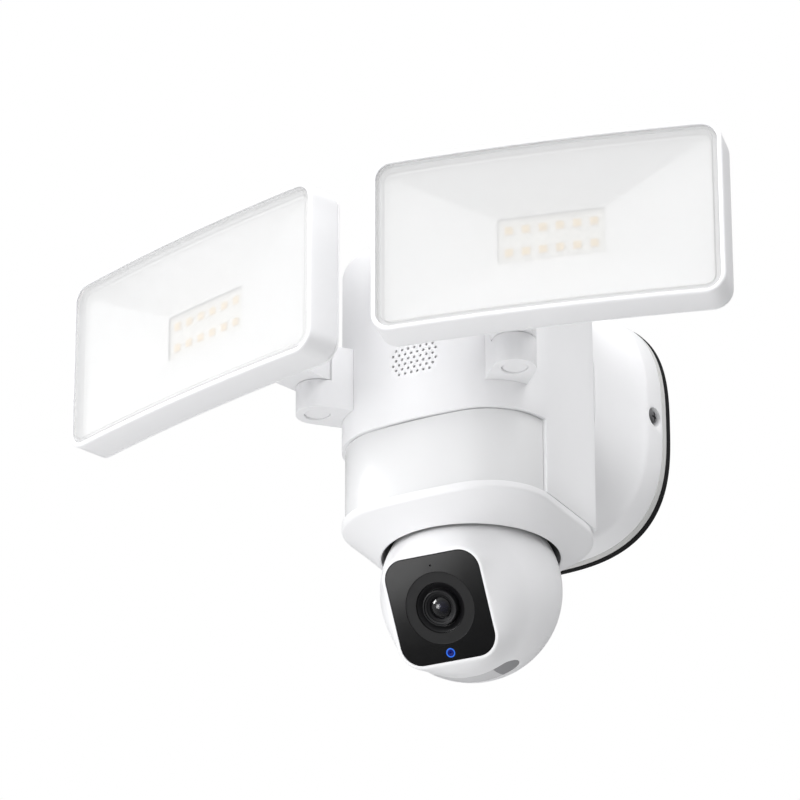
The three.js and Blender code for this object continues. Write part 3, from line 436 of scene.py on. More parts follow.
def frosted(name, color, roughness, alpha):
    """Frosted cover: most of it is milky, and the rest is seen through."""
    material = moulded(name, color, roughness, grain=2200, grain_height=0.006, variation=0.004)
    fill(shader_of(material), {"Specular IOR Level": 0.12, "Alpha": alpha})
    return material


def glowing(name, color, glow, strength):
    """Light guide."""
    material, nodes, links, shader = new_material(name)
    patches = noise(nodes, links, 700, 2)
    links.new(shaded(nodes, links, patches, [c * 0.8 for c in color], color), shader.inputs["Base Color"])
    fill(shader, {"Roughness": 0.25, "Specular IOR Level": 0.2,
                  "Emission Color": (*glow, 1), "Emission Strength": strength})
    return material


def circuit(name, color, track):
    """Solder mask over copper tracks."""
    material, nodes, links, shader = new_material(name)
    place = nodes.new("ShaderNodeTexCoord")
    tracks = nodes.new("ShaderNodeTexBrick")
    fill(tracks, {"Scale": 260, "Mortar Size": 0.03, "Mortar": (*track, 1),
                  "Color1": (*color, 1), "Color2": (*[c * 0.85 for c in color], 1)})
    links.new(place.outputs["Object"], tracks.inputs["Vector"])
    links.new(tracks.outputs["Color"], shader.inputs["Base Color"])
    bumped(nodes, links, shader, tracks.outputs["Fac"], 0.02)
    fill(shader, {"Roughness": 0.35})
    return material


WHITE_SHELL = moulded("white_shell", (0.86, 0.86, 0.87), 0.42)
BALL_SHELL = moulded("ball_shell", (0.86, 0.86, 0.87), 0.36, grain=2200, grain_height=0.006)
LAMP_SHELL = moulded("lamp_shell", (0.87, 0.87, 0.88), 0.42)
SENSOR_WINDOW = moulded("sensor_window", (0.765, 0.767, 0.772), 0.26, grain=1200, grain_height=0.0005,
                        variation=0.002, wear=0.004)
INNER_PLASTIC = moulded("inner_plastic", (0.62, 0.62, 0.61), 0.5)
FROSTED = frosted("frosted_cover", (0.87, 0.87, 0.87), 0.32, 0.4)
REFLECTOR = moulded("reflector", (0.86, 0.86, 0.86), 0.3, grain=900, grain_height=0.004)
# Darker copy of the reflector's colour for its downward-facing top side: painted shade.
REFLECTOR_PAINTED_SHADE = moulded("reflector_painted_shade", (0.67, 0.67, 0.67), 0.3, grain=900, grain_height=0.004)
LED_BOARD = moulded("led_board", (0.80, 0.79, 0.74), 0.45)
LED_CHIP = moulded("led_chip", (0.80, 0.52, 0.12), 0.3, grain=900, grain_height=0.004)
BLACK_GLASS = polished("black_glass", (0.002, 0.002, 0.0023), 0.15, specular=0.3)
LENS_RING = matte(moulded("lens_ring", (0.012, 0.012, 0.0125), 0.5, grain=2600, grain_height=0.003))
DARK_RING = moulded("dark_ring", (0.008, 0.008, 0.009), 0.36, grain=2600, grain_height=0.002)
BLACK_PLASTIC = matte(moulded("black_plastic", (0.010, 0.010, 0.011), 0.4))
BLACK_FOAM = moulded("black_foam", (0.012, 0.012, 0.013), 0.9, grain=2400, grain_height=0.08, variation=0.3)
GREY_RUBBER = moulded("grey_rubber", (0.60, 0.60, 0.61), 0.6, grain=1800, grain_height=0.02)
DARK_RUBBER = moulded("dark_rubber", (0.30, 0.30, 0.31), 0.55, grain=1800, grain_height=0.02)
# Near-black colour of the opening's skirt: painted shade in the gap between the ball and the collar.
SKIRT_PAINTED_SHADE = moulded("skirt_painted_shade", (0.12, 0.12, 0.125), 0.6, grain=1800, grain_height=0.01)
STEEL = metal("steel", (0.46, 0.46, 0.47), 0.32)
ALUMINIUM = metal("aluminium", (0.72, 0.73, 0.74), 0.36, stretch=(1, 1, 12))
NYLON = moulded("nylon", (0.74, 0.71, 0.62), 0.5)
CIRCUIT_BOARD = circuit("circuit_board", (0.015, 0.10, 0.045), (0.05, 0.22, 0.10))
BLUE_LIGHT = glowing("blue_light", (0.001, 0.004, 0.05), (0.0005, 0.003, 0.2), 0.5)
BLUE_EDGE = glowing("blue_edge", (0.01, 0.05, 0.25), (0.04, 0.2, 1.0), 0.6)

CARRIED_OVER = {
    "white_shell": WHITE_SHELL, "ball_shell": BALL_SHELL, "lamp_shell": LAMP_SHELL,
    "sensor_window": SENSOR_WINDOW, "inner_plastic": INNER_PLASTIC, "frosted_cover": FROSTED,
    "reflector": REFLECTOR, "led_board": LED_BOARD, "black_glass": BLACK_GLASS, "dark_ring": DARK_RING,
    "lens_glass": BLACK_GLASS, "blue_light": BLUE_LIGHT, "black_plastic": BLACK_PLASTIC,
    "black_foam": BLACK_FOAM, "grey_rubber": GREY_RUBBER, "dark_rubber": DARK_RUBBER, "steel": STEEL,
    "aluminium": ALUMINIUM, "nylon": NYLON, "circuit_board": CIRCUIT_BOARD,
}


def lens_glass():
    """Front element, partly seen through: dark from the barrel behind it, with a bright reflection."""
    material, nodes, links, shader = new_material("lens_glass")
    smears = noise(nodes, links, 300, 2)
    links.new(spread(nodes, links, smears, 0.14, 0.17), shader.inputs["Roughness"])
    fill(shader, {"Base Color": (0.003, 0.003, 0.004, 1), "Specular IOR Level": 1.0,
                  "Coat Weight": 1.0, "Coat Roughness": 0.12, "Alpha": 0.7})
    return material


def lens_coating():
    """Coated inner element, violet in the middle and green towards its edge."""
    material, nodes, links, shader = new_material("lens_coating")
    facing = fill(nodes.new("ShaderNodeLayerWeight"), {"Blend": 0.35})
    tints = nodes.new("ShaderNodeValToRGB")
    tints.color_ramp.elements[0].color = (0.010, 0.008, 0.070, 1)
    tints.color_ramp.elements[1].color = (0.004, 0.012, 0.006, 1)
    middle = tints.color_ramp.elements.new(0.3)
    middle.color = (0.008, 0.010, 0.030, 1)
    links.new(facing.outputs["Facing"], tints.inputs["Fac"])
    links.new(tints.outputs["Color"], shader.inputs["Base Color"])
    fill(shader, {"Roughness": 0.2, "Specular Tint": (0.4, 0.4, 1.0, 1), "Specular IOR Level": 1.0})
    return material


LENS_GLASS = lens_glass()
LENS_COATING = lens_coating()


# ------------------------------------------------------------------ wall base
SQUARENESS = 2.9  # superellipse power of the base
BASE_HALF = high("wall_seal")[0]
SEAL_FRONT = low("wall_seal")[1]
SHELL_BACK = high("base_shell")[1]
SHELL_FRONT = low("base_shell")[1]
LOCK_SCREW_Y = middle("lock_screw_right")[1]
SCREW_WELL = 4.5
WIRE_HOLE = 13
WIRE_HOLE_Z = middle("wire_grommet")[2]
CABLE_HOLE = 11
BOX_SCREW_X = 44.45
SLOT_RADIUS = 2.6
SLOT_REACH = 3.4
SEAL_EDGE = 0.5
PLATE_BACK = high("mounting_plate")[1]
PLATE_FRONT = -7.0
RING_FRONT = -20.7  # front edge of the ring, where the base turns into the flare
SHELL_HALF = BASE_HALF - 0.5
RING_HALF = 57.3
NECK_HALF = 47.5
# Half width and depth of the base shell's outside, from the wall to the housing.
BASE_PROFILE = [(SHELL_HALF, SHELL_BACK), (RING_HALF, RING_FRONT + 2.2), (55.4, RING_FRONT),
                (53.6, RING_FRONT - 3.4), (50.8, RING_FRONT - 12), (48.6, RING_FRONT - 21),
                (NECK_HALF, SHELL_FRONT)]
BASE_WALL = 2.5
BASE_ROUND = 4.0  # rounding of the base shell's corners
LUG_X = 49
SCREW_HOLE = 2.3
WELL_BOTTOM = 55.4
BOSS_ENDS = (52.6, 56.4)  # X of the boss behind each screw well


def base_rings(profile):
    """The base's outline at pairs of a half width and a depth."""
    return [at_depth(superellipse(half, SQUARENESS), y) for half, y in profile]


def box_screw_slots():
    """Tools for the two upright slots that take the junction box's screws."""
    slot = np.concatenate([arc(0, SLOT_REACH, SLOT_RADIUS, 0, 180, 8),
                           arc(0, -SLOT_REACH, SLOT_RADIUS, 180, 360, 8)])
    return [loft("tool", [at_depth(slot + [side * BOX_SCREW_X, 0], y) for y in (-10, 2)])
            for side in (-1, 1)]


def wall_seal():
    half = BASE_HALF
    profile = [(half - 0.4, 0), (half, -SEAL_EDGE), (half, SEAL_FRONT + SEAL_EDGE), (half - 0.4, SEAL_FRONT)]
    pad = loft("wall_seal_foam", base_rings(profile))
    cut(pad, rod("tool", "y", WIRE_HOLE, -10, 5, (0, WIRE_HOLE_Z)), *box_screw_slots())
    return stands_for(pad, "wall_seal", BLACK_FOAM)


def mounting_plate():
    half = BASE_HALF - 0.4
    profile = [(half - 0.3, PLATE_BACK), (half, PLATE_BACK - 0.3), (half, PLATE_FRONT + 0.3),
               (half - 0.3, PLATE_FRONT)]
    plate = loft("mounting_plate_shell", base_rings(profile))
    for side in (-1, 1):
        x = side * LUG_X
        join(plate, box_mesh("tool", (x - 2, LOCK_SCREW_Y - 5, -7), (x + 2, PLATE_FRONT + 0.5, 7)))
    cut(plate, rod("tool", "x", SCREW_HOLE, -60, 60, (LOCK_SCREW_Y, 0), 24),
        rod("tool", "y", WIRE_HOLE - 2, -12, 2, (0, WIRE_HOLE_Z)), *box_screw_slots())
    return stands_for(plate, "mounting_plate", INNER_PLASTIC)


def base_shell():
    """Ring and flared body, with a well for each lock screw."""
    outside = softened(BASE_PROFILE, BASE_ROUND, 6)
    inner_front = SHELL_FRONT + BASE_WALL
    inside = softened([(NECK_HALF - BASE_WALL, inner_front), (RING_HALF - BASE_WALL, RING_FRONT + BASE_WALL),
                       (SHELL_HALF - BASE_WALL, SHELL_BACK)], BASE_ROUND, 5)
    shell = loft("base_shell_moulding", base_rings([*inside, *outside]))
    for side in (-1, 1):
        boss = sorted(side * x for x in BOSS_ENDS)
        join(shell, rod("tool", "x", SCREW_WELL + 1.1, *boss, (LOCK_SCREW_Y, 0)))
    wells = [rod("tool", "x", SCREW_WELL, *sorted((side * WELL_BOTTOM, side * 61)), (LOCK_SCREW_Y, 0))
             for side in (-1, 1)]
    cut(shell, *wells, rod("tool", "x", SCREW_HOLE, -70, 70, (LOCK_SCREW_Y, 0), 24),
        rod("tool", "y", CABLE_HOLE, SHELL_FRONT - 2, inner_front + 8))
    return stands_for(bevelled(shell, 0.25, 2, 50), "base_shell", WHITE_SHELL)


def lock_screw(side, node):
    """Pan-head screw with a cross recess."""
    outer = side * max(side * low(node)[0], side * high(node)[0])
    place = Matrix.Translation((outer, LOCK_SCREW_Y, 0)) @ Matrix.Rotation(side * math.pi / 2, 4, "Z")
    head = softened([(0, 0), (2.4, -0.05), (3.5, -0.9), (3.7, -1.4), (3.7, -2.2), (2, -2.2), (2, -9),
                     (0, -9)], 0.3, 3)
    screw = turned(node + "_body", head, place, 48, closed=False)
    for x, z in ((2.1, 0.42), (0.42, 2.1)):
        cut(screw, box_mesh("tool", (-x, -0.6, -z), (x, 1.2, z), place))
    return stands_for(screw, node, STEEL)


# ------------------------------------------------------------------ place of the camera ball
HEAD_TILT = 31.8  # stored tilt of the ball, degrees down
BALL_CENTRE = Vector(JOINTS["camera_tilt"]["pos_m"]) / MM
BALL = joint_place("camera_tilt", tilt=HEAD_TILT)
BALL_RADIUS = 38.9


# ------------------------------------------------------------------ housing
HOUSING_HALF = (high("upper_housing")[0] - low("upper_housing")[0]) / 2
HOUSING_FRONT = low("upper_housing")[1]
HOUSING_BACK = high("upper_housing")[1]
HOUSING_TOP = high("upper_housing")[2]
HOUSING_BOTTOM = low("upper_housing")[2]
HOUSING_WALL = 2.5
TOP_EDGE = 7
FRONT_CORNER = 30
BACK_CORNER = 4
CROWN_RADIUS = 216.5
CROWN_SPAN = CROWN_RADIUS - FRONT_CORNER
CORNER_X = HOUSING_HALF - FRONT_CORNER
CORNER_Y = HOUSING_FRONT + CROWN_RADIUS - math.sqrt(CROWN_SPAN**2 - CORNER_X**2)
CROWN_ANGLE = math.degrees(math.asin(CORNER_X / CROWN_SPAN))
WINDOW_TOP = -33.3
WINDOW_END = -98.2
WINDOW_INSET = 1.5
WINDOW_WALL = 1.8
WINDOW_GAP = 0.3
SPEAKER_Z = middle("speaker")[2]
HOLE_PITCH = 2.95
HOLE_ROW_PITCH = 2.27
HOLE_ROWS = (6, 7, 8, 7, 8, 7, 6)
HOLE_RADIUS = 0.66


def front_outline(inset, end_angle=360.0):
    """The housing's crowned front and its two corners, from the left side to the right side."""
    crown_start, crown_end = 270 - CROWN_ANGLE, 270 + CROWN_ANGLE
    crown = arc(0, HOUSING_FRONT + CROWN_RADIUS, CROWN_RADIUS - inset, crown_start, crown_end, 24)
    return np.concatenate([
        arc(-CORNER_X, CORNER_Y, FRONT_CORNER - inset, 540 - end_angle, crown_start, 16),
        crown[1:-1],
        arc(CORNER_X, CORNER_Y, FRONT_CORNER - inset, crown_end, end_angle, 16),
    ])


def side_points(x, start, end, steps):
    """Points up one side, without its two ends."""
    return np.column_stack([np.full(steps - 1, x), np.linspace(start, end, steps + 1)[1:-1]])


def housing_outline(inset):
    """The housing's section: the crowned front, straight sides and a flat back."""
    back = max(BACK_CORNER - inset, 0.6)
    x, y = HOUSING_HALF - inset - back, HOUSING_BACK - inset - back
    return np.concatenate([
        front_outline(inset),
        side_points(HOUSING_HALF - inset, CORNER_Y, y, 6),
        arc(x, y, back, 0, 90, 6),
        arc(-x, y, back, 90, 180, 6),
        side_points(-HOUSING_HALF + inset, y, CORNER_Y, 6),
    ])


def speaker_holes():
    """Tools for the holes of the speaker grille."""
    holes = []
    for row, count in enumerate(HOLE_ROWS):
        z = SPEAKER_Z + (row - (len(HOLE_ROWS) - 1) / 2) * HOLE_ROW_PITCH
        for i in range(count):
            x = (i - (count - 1) / 2) * HOLE_PITCH
            holes.append(rod("tool", "y", HOLE_RADIUS, HOUSING_FRONT - 2, HOUSING_FRONT + 6, (x, z), 16))
    return group("tool", holes)


def upper_housing():
    """Main shell, open below, with the window's cut-out and the speaker holes."""
    top_ring = HOUSING_TOP - TOP_EDGE
    inside = [(HOUSING_WALL + 3.5, HOUSING_TOP - HOUSING_WALL), (HOUSING_WALL, top_ring)]
    angles = np.radians(np.linspace(0, 90, 13))
    edge = [(TOP_EDGE * (1 - math.cos(a)), top_ring + TOP_EDGE * math.sin(a)) for a in angles]
    heights = [(0, z) for z in np.linspace(HOUSING_BOTTOM, top_ring, 12)[:-1]]
    profile = [*inside, (HOUSING_WALL, HOUSING_BOTTOM), *heights, *edge]
    shell = loft("upper_housing_moulding", [at_height(housing_outline(i), z) for i, z in profile])
    window = box_mesh("tool", (-60, -140, HOUSING_BOTTOM - 1), (60, WINDOW_END, WINDOW_TOP))
    cable = rod("tool", "y", CABLE_HOLE, HOUSING_BACK - 6, HOUSING_BACK + 2)
    cut(shell, window, cable, ball_room(), speaker_holes())
    return stands_for(bevelled(shell, 0.22, 2, 50), "upper_housing", WHITE_SHELL)


def ball_room():
    """Room for the ball in the lower edge of the housing's back wall."""
    room = ball("tool", BALL_RADIUS + 2, 40, 64)
    room.data.transform(Matrix.Translation(BALL_CENTRE * MM))
    return room


def sensor_window():
    """Milky window wrapped round the front, a little inside the housing's surface."""
    end_y, top, bottom = WINDOW_END - WINDOW_GAP, WINDOW_TOP - WINDOW_GAP, HOUSING_BOTTOM
    outer, inner = WINDOW_INSET, WINDOW_INSET + WINDOW_WALL
    end_angle = 360 - math.degrees(math.asin((CORNER_Y - end_y) / (FRONT_CORNER - outer)))
    section = ring_profile([(outer, bottom), (outer, top), (inner, top), (inner, bottom)], 0.3)
    rails = [at_height(front_outline(inset, end_angle), z) for inset, z in section]
    rings = [np.array([rail[i] for rail in rails]) for i in range(len(rails[0]))]
    return stands_for(loft("sensor_window_lens", rings), "motion_sensor_window", SENSOR_WINDOW)


COLLAR_EDGE = -70.6
COLLAR_OPENING = low("lower_collar")[2]
OPENING_RADIUS = 38.25
COLLAR_TOP = high("lower_collar")[2]
COLLAR_BACK = high("lower_collar")[1]
COLLAR_BACK_CORNER = 35
EDGE_ROUND = 1.1  # rounding of the collar's edge
PAN_AXIS = np.array(JOINTS["camera_pan"]["pos_m"][:2]) / MM


def collar_outline(inset):
    """The collar's section: the housing's front and sides, and large back corners."""
    x, y = HOUSING_HALF - COLLAR_BACK_CORNER, COLLAR_BACK - COLLAR_BACK_CORNER
    back = COLLAR_BACK_CORNER - inset
    side = HOUSING_HALF - inset
    return np.concatenate([
        front_outline(inset),
        side_points(side, CORNER_Y, y, 8),
        arc(x, y, back, 0, 90, 14),
        np.column_stack([np.linspace(x, -x, 9)[1:-1], np.full(7, y + back)]),
        arc(-x, y, back, 90, 180, 14),
        side_points(-side, y, CORNER_Y, 8),
    ])


def opening_circle(radius):
    """A circle round the pan axis, with its points in the directions of the collar's points."""
    away = collar_outline(0) - PAN_AXIS
    return PAN_AXIS + radius * away / np.linalg.norm(away, axis=1)[:, None]


def lower_collar():
    """Bottom shell: an upright band, a rounded edge and a cone that ends at the round opening."""
    cone_end = (0.98, COLLAR_OPENING + 0.1)
    slope = (cone_end[1] - COLLAR_EDGE) / cone_end[0]
    band = [(0, z) for z in np.linspace(COLLAR_TOP - 0.3, COLLAR_EDGE + EDGE_ROUND, 3)]
    edge_end = (EDGE_ROUND / 14, COLLAR_EDGE + slope * EDGE_ROUND / 14)
    edge = bezier(band[-1], (0, COLLAR_EDGE), edge_end, 8)[1:]
    cone = [(t, COLLAR_EDGE + slope * t) for t in np.linspace(edge_end[0], cone_end[0], 14)[1:]]
    outer, circle = collar_outline(0), opening_circle(OPENING_RADIUS + 0.7)
    rings = [at_height(collar_outline(0.3), COLLAR_TOP)]
    rings += [at_height(outer * (1 - t) + circle * t, z) for t, z in [*band, *edge, *cone]]
    lip = softened([(0.9, COLLAR_OPENING), (0, COLLAR_OPENING + 0.1), (0.1, COLLAR_OPENING + 1.2),
                    (2.2, COLLAR_OPENING + 3.5), (2.5, COLLAR_TOP)], 0.8, 5)
    rings += [at_height(opening_circle(OPENING_RADIUS + r), z) for r, z in lip]
    return stands_for(loft("lower_collar_moulding", rings, closed=True), "lower_collar", WHITE_SHELL)


def opening_skirt():
    """Skirt inside the opening, wrapped round the ball at an even distance; its near-black colour is painted shade
    in the gap round the ball.
    """
    heights = np.linspace(COLLAR_OPENING + 1.6, HOUSING_BOTTOM + 2, 8) - BALL_CENTRE.z
    rings = []
    for reach, row in ((BALL_RADIUS + 2.15, heights), (BALL_RADIUS + 2.9, heights[::-1])):
        for z in row:
            circle = round_outline(*PAN_AXIS, math.sqrt(reach**2 - z**2), 120)
            rings.append(at_height(circle, z + BALL_CENTRE.z))
    skirt = loft("opening_skirt", rings, closed=True)
    return extra(skirt, body_of("lower_collar"), SKIRT_PAINTED_SHADE)


# ------------------------------------------------------------------ camera ball
BALL_WALL = 2.0
SHELL_SPLIT = -3.0
SHELL_GAP = 0.05
FACE_FORWARD = -local_box("head_front_shell", BALL)[0][1]
FACE_HALF = np.array([23.1, 24.3])
FACE_CORNER = 10.5
FACE_RIM = 1.3
NOSE_START = 19.0
NOSE_SLOPE = -0.47  # how fast the nose starts to narrow
NOSE_BULGE = 0.34
BALL_SIDES = 192
DIRECTIONS = round_outline(0, 0, 1, BALL_SIDES)
HATCH_ANGLE = 66
HATCH_HALF = 5.6
HATCH_REACH = 19.5
HATCH_SPLIT = 10  # X of the gap between the card cover and the button
HATCH_SPLIT_HALF = 0.12
HATCH_GAP = 0.18
HATCH_SUNK = 0.15
STEM_SLOT_HALF = 9
STEM_SLOT_ANGLES = (6, 88)
STEM_SLOT_REACH = (20, 45)


def face_radius(direction, inset):
    """Distance from the face's centre to its rounded-square edge in a direction."""
    half, corner = FACE_HALF - inset, FACE_CORNER - inset
    along = np.abs(direction)
    side = min(half[0] / max(along[0], 1e-6), half[1] / max(along[1], 1e-6))
    centre = half - corner
    if side * along[0] <= centre[0] or side * along[1] <= centre[1]:
        return side
    middle = along @ centre
    return middle + math.sqrt(middle**2 - centre @ centre + corner**2)


def face_ring(forward, inset):
    """Ring of the flat face's rounded square."""
    radii = np.array([face_radius(d, inset) for d in DIRECTIONS])
    return at_depth(DIRECTIONS * radii[:, None], -forward)


def ball_ring(forward, inset=0.0):
    """Ring of the round part of the ball."""
    radius = math.sqrt(max((BALL_RADIUS - inset) ** 2 - forward**2, 0.04))
    return at_depth(DIRECTIONS * radius, -forward)


def nose_ring(forward, inset=0.0):
    """Ring of the nose, which turns from the ball's circle into the face's rounded square."""
    start_radius = math.sqrt(BALL_RADIUS**2 - NOSE_START**2)
    span = FACE_FORWARD - NOSE_START
    t = (forward - NOSE_START) / span
    start, start_turn = 2 * t**3 - 3 * t**2 + 1, t**3 - 2 * t**2 + t
    end, end_turn = -2 * t**3 + 3 * t**2, t**3 - t**2
    radii = []
    for direction in DIRECTIONS:
        face = face_radius(direction, 0)
        bulge = NOSE_BULGE * (1 - max(direction[1], 0))
        end_slope = 2 * (face - start_radius) / span - NOSE_SLOPE - bulge
        radius = start * start_radius + start_turn * span * NOSE_SLOPE + end * face
        radii.append(radius + end_turn * span * end_slope - inset)
    return at_depth(DIRECTIONS * np.array(radii)[:, None], -forward)


def hatch_tool(half, reach):
    """Bar with round ends through the ball's wall at the hatch."""
    outline = stadium(half, reach)
    place = BALL @ Matrix.Rotation(math.radians(HATCH_ANGLE - 90), 4, "X")
    return loft("tool", [at_height(outline, z) for z in (-44, -30)], place)


def head_front_shell():
    """Front half of the ball: the nose with its seat for the glass, and the hatch's opening."""
    split = SHELL_SPLIT + SHELL_GAP / 2
    outer = [ball_ring(f) for f in np.linspace(split, NOSE_START, 22)]
    outer += [nose_ring(f) for f in np.linspace(NOSE_START, FACE_FORWARD - 0.5, 20)[1:]]
    front = FACE_FORWARD
    rim = [face_ring(front - 0.12, 0.1), face_ring(front, 0.4), face_ring(front, FACE_RIM - 0.1),
           face_ring(front - 0.1, FACE_RIM), face_ring(front - 1.9, FACE_RIM),
           face_ring(front - 1.9, FACE_RIM + 3), face_ring(front - 3.5, FACE_RIM + 3)]
    inner_nose = [nose_ring(f, BALL_WALL) for f in np.linspace(front - 4.5, NOSE_START, 8)]
    inner_ball = [ball_ring(f, BALL_WALL) for f in np.linspace(NOSE_START - 1.5, split, 8)]
    shell = loft("head_front_moulding", [*outer, *rim, *inner_nose, *inner_ball], BALL, closed=True)
    cut(shell, hatch_tool(HATCH_HALF, HATCH_REACH))
    return stands_for(bevelled(shell, 0.15, 2, 60), "head_front_shell", BALL_SHELL)


def stem_slot():
    """Curved slot that lets the stem through as the ball tilts."""
    x, (near, far) = STEM_SLOT_HALF, STEM_SLOT_REACH
    corners = [(-x, near), (x, near), (x, far), (-x, far)]
    angles = np.radians(np.linspace(*STEM_SLOT_ANGLES, 25))
    rings = [[(x, r * math.sin(a), r * math.cos(a)) for x, r in corners] for a in angles]
    return loft("tool", rings, BALL)


def head_rear_shell():
    """Rear half of the ball, open at the split and at the stem's slot."""
    split = SHELL_SPLIT - SHELL_GAP / 2
    inner_back = BALL_RADIUS - BALL_WALL - 0.01
    inner = [ball_ring(f, BALL_WALL) for f in -np.linspace(inner_back, -split, 14)]
    outer = [ball_ring(f) for f in -(BALL_RADIUS - 0.01) * np.sin(
        np.linspace(math.asin(-split / BALL_RADIUS), math.pi / 2, 26))]
    shell = loft("head_rear_moulding", [*inner, *outer], BALL)
    cut(shell, stem_slot())
    return stands_for(bevelled(shell, 0.15, 2, 60), "head_rear_shell", BALL_SHELL)


def hatch_piece(name, node, start, end, material):
    """A slice of the ball's wall inside the hatch."""
    piece = ball(name, BALL_RADIUS - HATCH_SUNK, 90, 160, BALL)
    cut(piece, ball("tool", BALL_RADIUS - BALL_WALL, 60, 96, BALL))
    combined(piece, "INTERSECT", hatch_tool(HATCH_HALF - HATCH_GAP, HATCH_REACH - HATCH_GAP))
    slab = box_mesh("tool", (start, -50, -50), (end, 50, 50), BALL)
    combined(piece, "INTERSECT", slab)
    return stands_for(bevelled(piece, 0.3, 3, 50), node, material)


# ------------------------------------------------------------------ lens and glass
GLASS_FRONT = FACE_FORWARD - 0.1
GLASS_BACK = FACE_FORWARD - 1.6
GLASS_INSET = FACE_RIM + 0.1
PRINTED_RING = 15.4
LENS_HOLE = 10.7
RING_SUNK = 0.16  # how far the printed ring lies below the glass
MICROPHONE_RADIUS = 0.45
MICROPHONE_Z = 18.4
STATUS_RADIUS = 2.0
STATUS_Z = -19.4
# Radius and distance forward of the ball's centre.
BEZEL_PROFILE = [(10.55, 36.2), (8.3, 34.3), (7.95, 34.3), (7.95, 32.6), (10.55, 32.6)]
BARREL_PROFILE = [(7.7, 14.2), (7.7, 37.0), (7.45, 37.3), (7.05, 37.3), (6.9, 36.7), (6.1, 36.7),
                  (5.9, 36.3), (4.9, 36.0), (4.7, 35.6), (4.7, 30.0), (4.2, 29.8), (4.2, 14.2)]


def round_ring(radius, forward):
    return at_depth(DIRECTIONS * radius, -forward)


def front_glass():
    """Polished pane: a sunk satin ring round the lens, a microphone hole and a recess for the light."""
    front = GLASS_FRONT
    rings = [face_ring(GLASS_BACK, GLASS_INSET), face_ring(front - 0.25, GLASS_INSET),
             face_ring(front - 0.06, GLASS_INSET + 0.08), face_ring(front, GLASS_INSET + 0.3),
             round_ring(PRINTED_RING + 0.12, front), round_ring(PRINTED_RING, front - 0.12),
             round_ring(PRINTED_RING - 0.2, front - RING_SUNK),
             round_ring(LENS_HOLE + 0.25, front - RING_SUNK),
             round_ring(LENS_HOLE, front - 0.4), round_ring(LENS_HOLE, GLASS_BACK)]
    pane = loft("front_glass_pane", rings, BALL, closed=True)
    pane.data.materials.append(BLACK_GLASS)
    pane.data.materials.append(LENS_RING)
    inverse = BALL.inverted()
    for face in pane.data.polygons:
        middle = inverse @ (face.center / MM)
        away = math.hypot(middle.x, middle.z)
        if LENS_HOLE < away < PRINTED_RING and middle.y < -(GLASS_BACK + 0.5):
            face.material_index = 1
    recess = rod("tool", "y", STATUS_RADIUS + 0.06, -40, -(GLASS_BACK + 0.4), (0, STATUS_Z), 48, BALL)
    cut(pane, recess, rod("tool", "y", MICROPHONE_RADIUS, -40, -30, (0, MICROPHONE_Z), 20, BALL))
    glass_normal = BALL.to_3x3() @ Vector(FORWARD)
    smooth(pane)
    for face in pane.data.polygons:
        face.use_smooth = abs(face.normal @ glass_normal) < 0.9999
    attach(pane, body_of("front_glass"))
    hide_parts("front_glass")
    return pane


def ring_light():
    """Blue light guide: a ring with a brighter outer edge."""
    place = BALL @ Matrix.Translation((0, 0, STATUS_Z))
    back, top = GLASS_FRONT - 0.9, GLASS_FRONT - 0.02
    outer = [(STATUS_RADIUS, back), (STATUS_RADIUS, top), (1.5, top), (1.5, back)]
    inner = [(1.47, back), (1.47, GLASS_FRONT - 0.1), (0.3, GLASS_FRONT - 0.14), (0.3, back)]
    edge = turned("status_ring_edge", ring_profile(outer, 0.1), place, 64)
    guide = turned("status_ring_guide", ring_profile(inner, 0.1), place, 64)
    stands_for(edge, "status_ring", BLUE_EDGE)
    extra(guide, body_of("status_ring"), BLUE_LIGHT)


def dome(radius, sphere, top, back):
    """Profile of a lens element: a cap of a sphere and a flat back."""
    angles = np.linspace(0, math.asin(radius / sphere), 24)
    cap = [(sphere * math.sin(a), top - sphere * (1 - math.cos(a))) for a in angles]
    return [*cap, (radius, back), (0, back)]


def lens():
    """Funnel-shaped bezel, stepped barrel, domed front element and the coated element behind it."""
    bezel = turned("lens_bezel_cone", ring_profile(BEZEL_PROFILE, 0.15), BALL)
    stands_for(bezel, "lens_bezel", DARK_RING)
    barrel = turned("lens_barrel_body", ring_profile(BARREL_PROFILE, 0.1), BALL)
    stands_for(barrel, "lens_barrel", BLACK_PLASTIC, 25)
    front = dome(radius=4.6, sphere=6.6, top=37.7, back=33.0)
    stands_for(turned("lens_element_dome", front, BALL, closed=False), "lens_element", LENS_GLASS, 50)
    inner = dome(radius=3.0, sphere=4.0, top=35.5, back=33.3)
    extra(turned("lens_inner_element", inner, BALL, closed=False),
          body_of("lens_element"), LENS_COATING, 50)


# ------------------------------------------------------------------ arms and links
ARM_ANGLE = 43.2
ARM_HALF = 9.3
ARM_BOTTOM = low("arm_right")[2]
ARM_TOP = high("arm_right")[2]
ARM_SEAT = -8.1
ARM_LENGTH = 26
LINK_REACH = 28
PLUG_RADIUS = 5.6
PLUG_GAP = 0.15
PLUG_SEAT_DEPTH = 6.6
PIVOT_BOLT = 2.5
PIN_HOLE_GAP = 0.3
TONGUE_HALF = 5
TONGUE_RADIUS = 7.5
TILT_PIN = 2
ARM_SEAT_GAP = 0.12  # how far the arm stays clear of the housing


def arm_place(side, word):
    """Local frame at the arm's pivot, with the arm reaching along Y."""
    pivot = Vector(JOINTS["lamp_pan_" + word]["pos_m"]) / MM
    return Matrix.Translation(pivot) @ Matrix.Rotation(math.radians(side * ARM_ANGLE), 4, "Z")


def round_front_bar(name, half, reach, z0, z1, place):
    """Bar whose end at the local origin is round; it reaches along Y."""
    sign = 1 if reach > 0 else -1
    start = 90 + sign * 90
    front = arc(0, 0, half, start, start + 180, 32)
    outline = np.concatenate([front, [[sign * half, reach], [-sign * half, reach]]])
    return loft(name, [at_height(outline, z) for z in (z0, z1)], place)


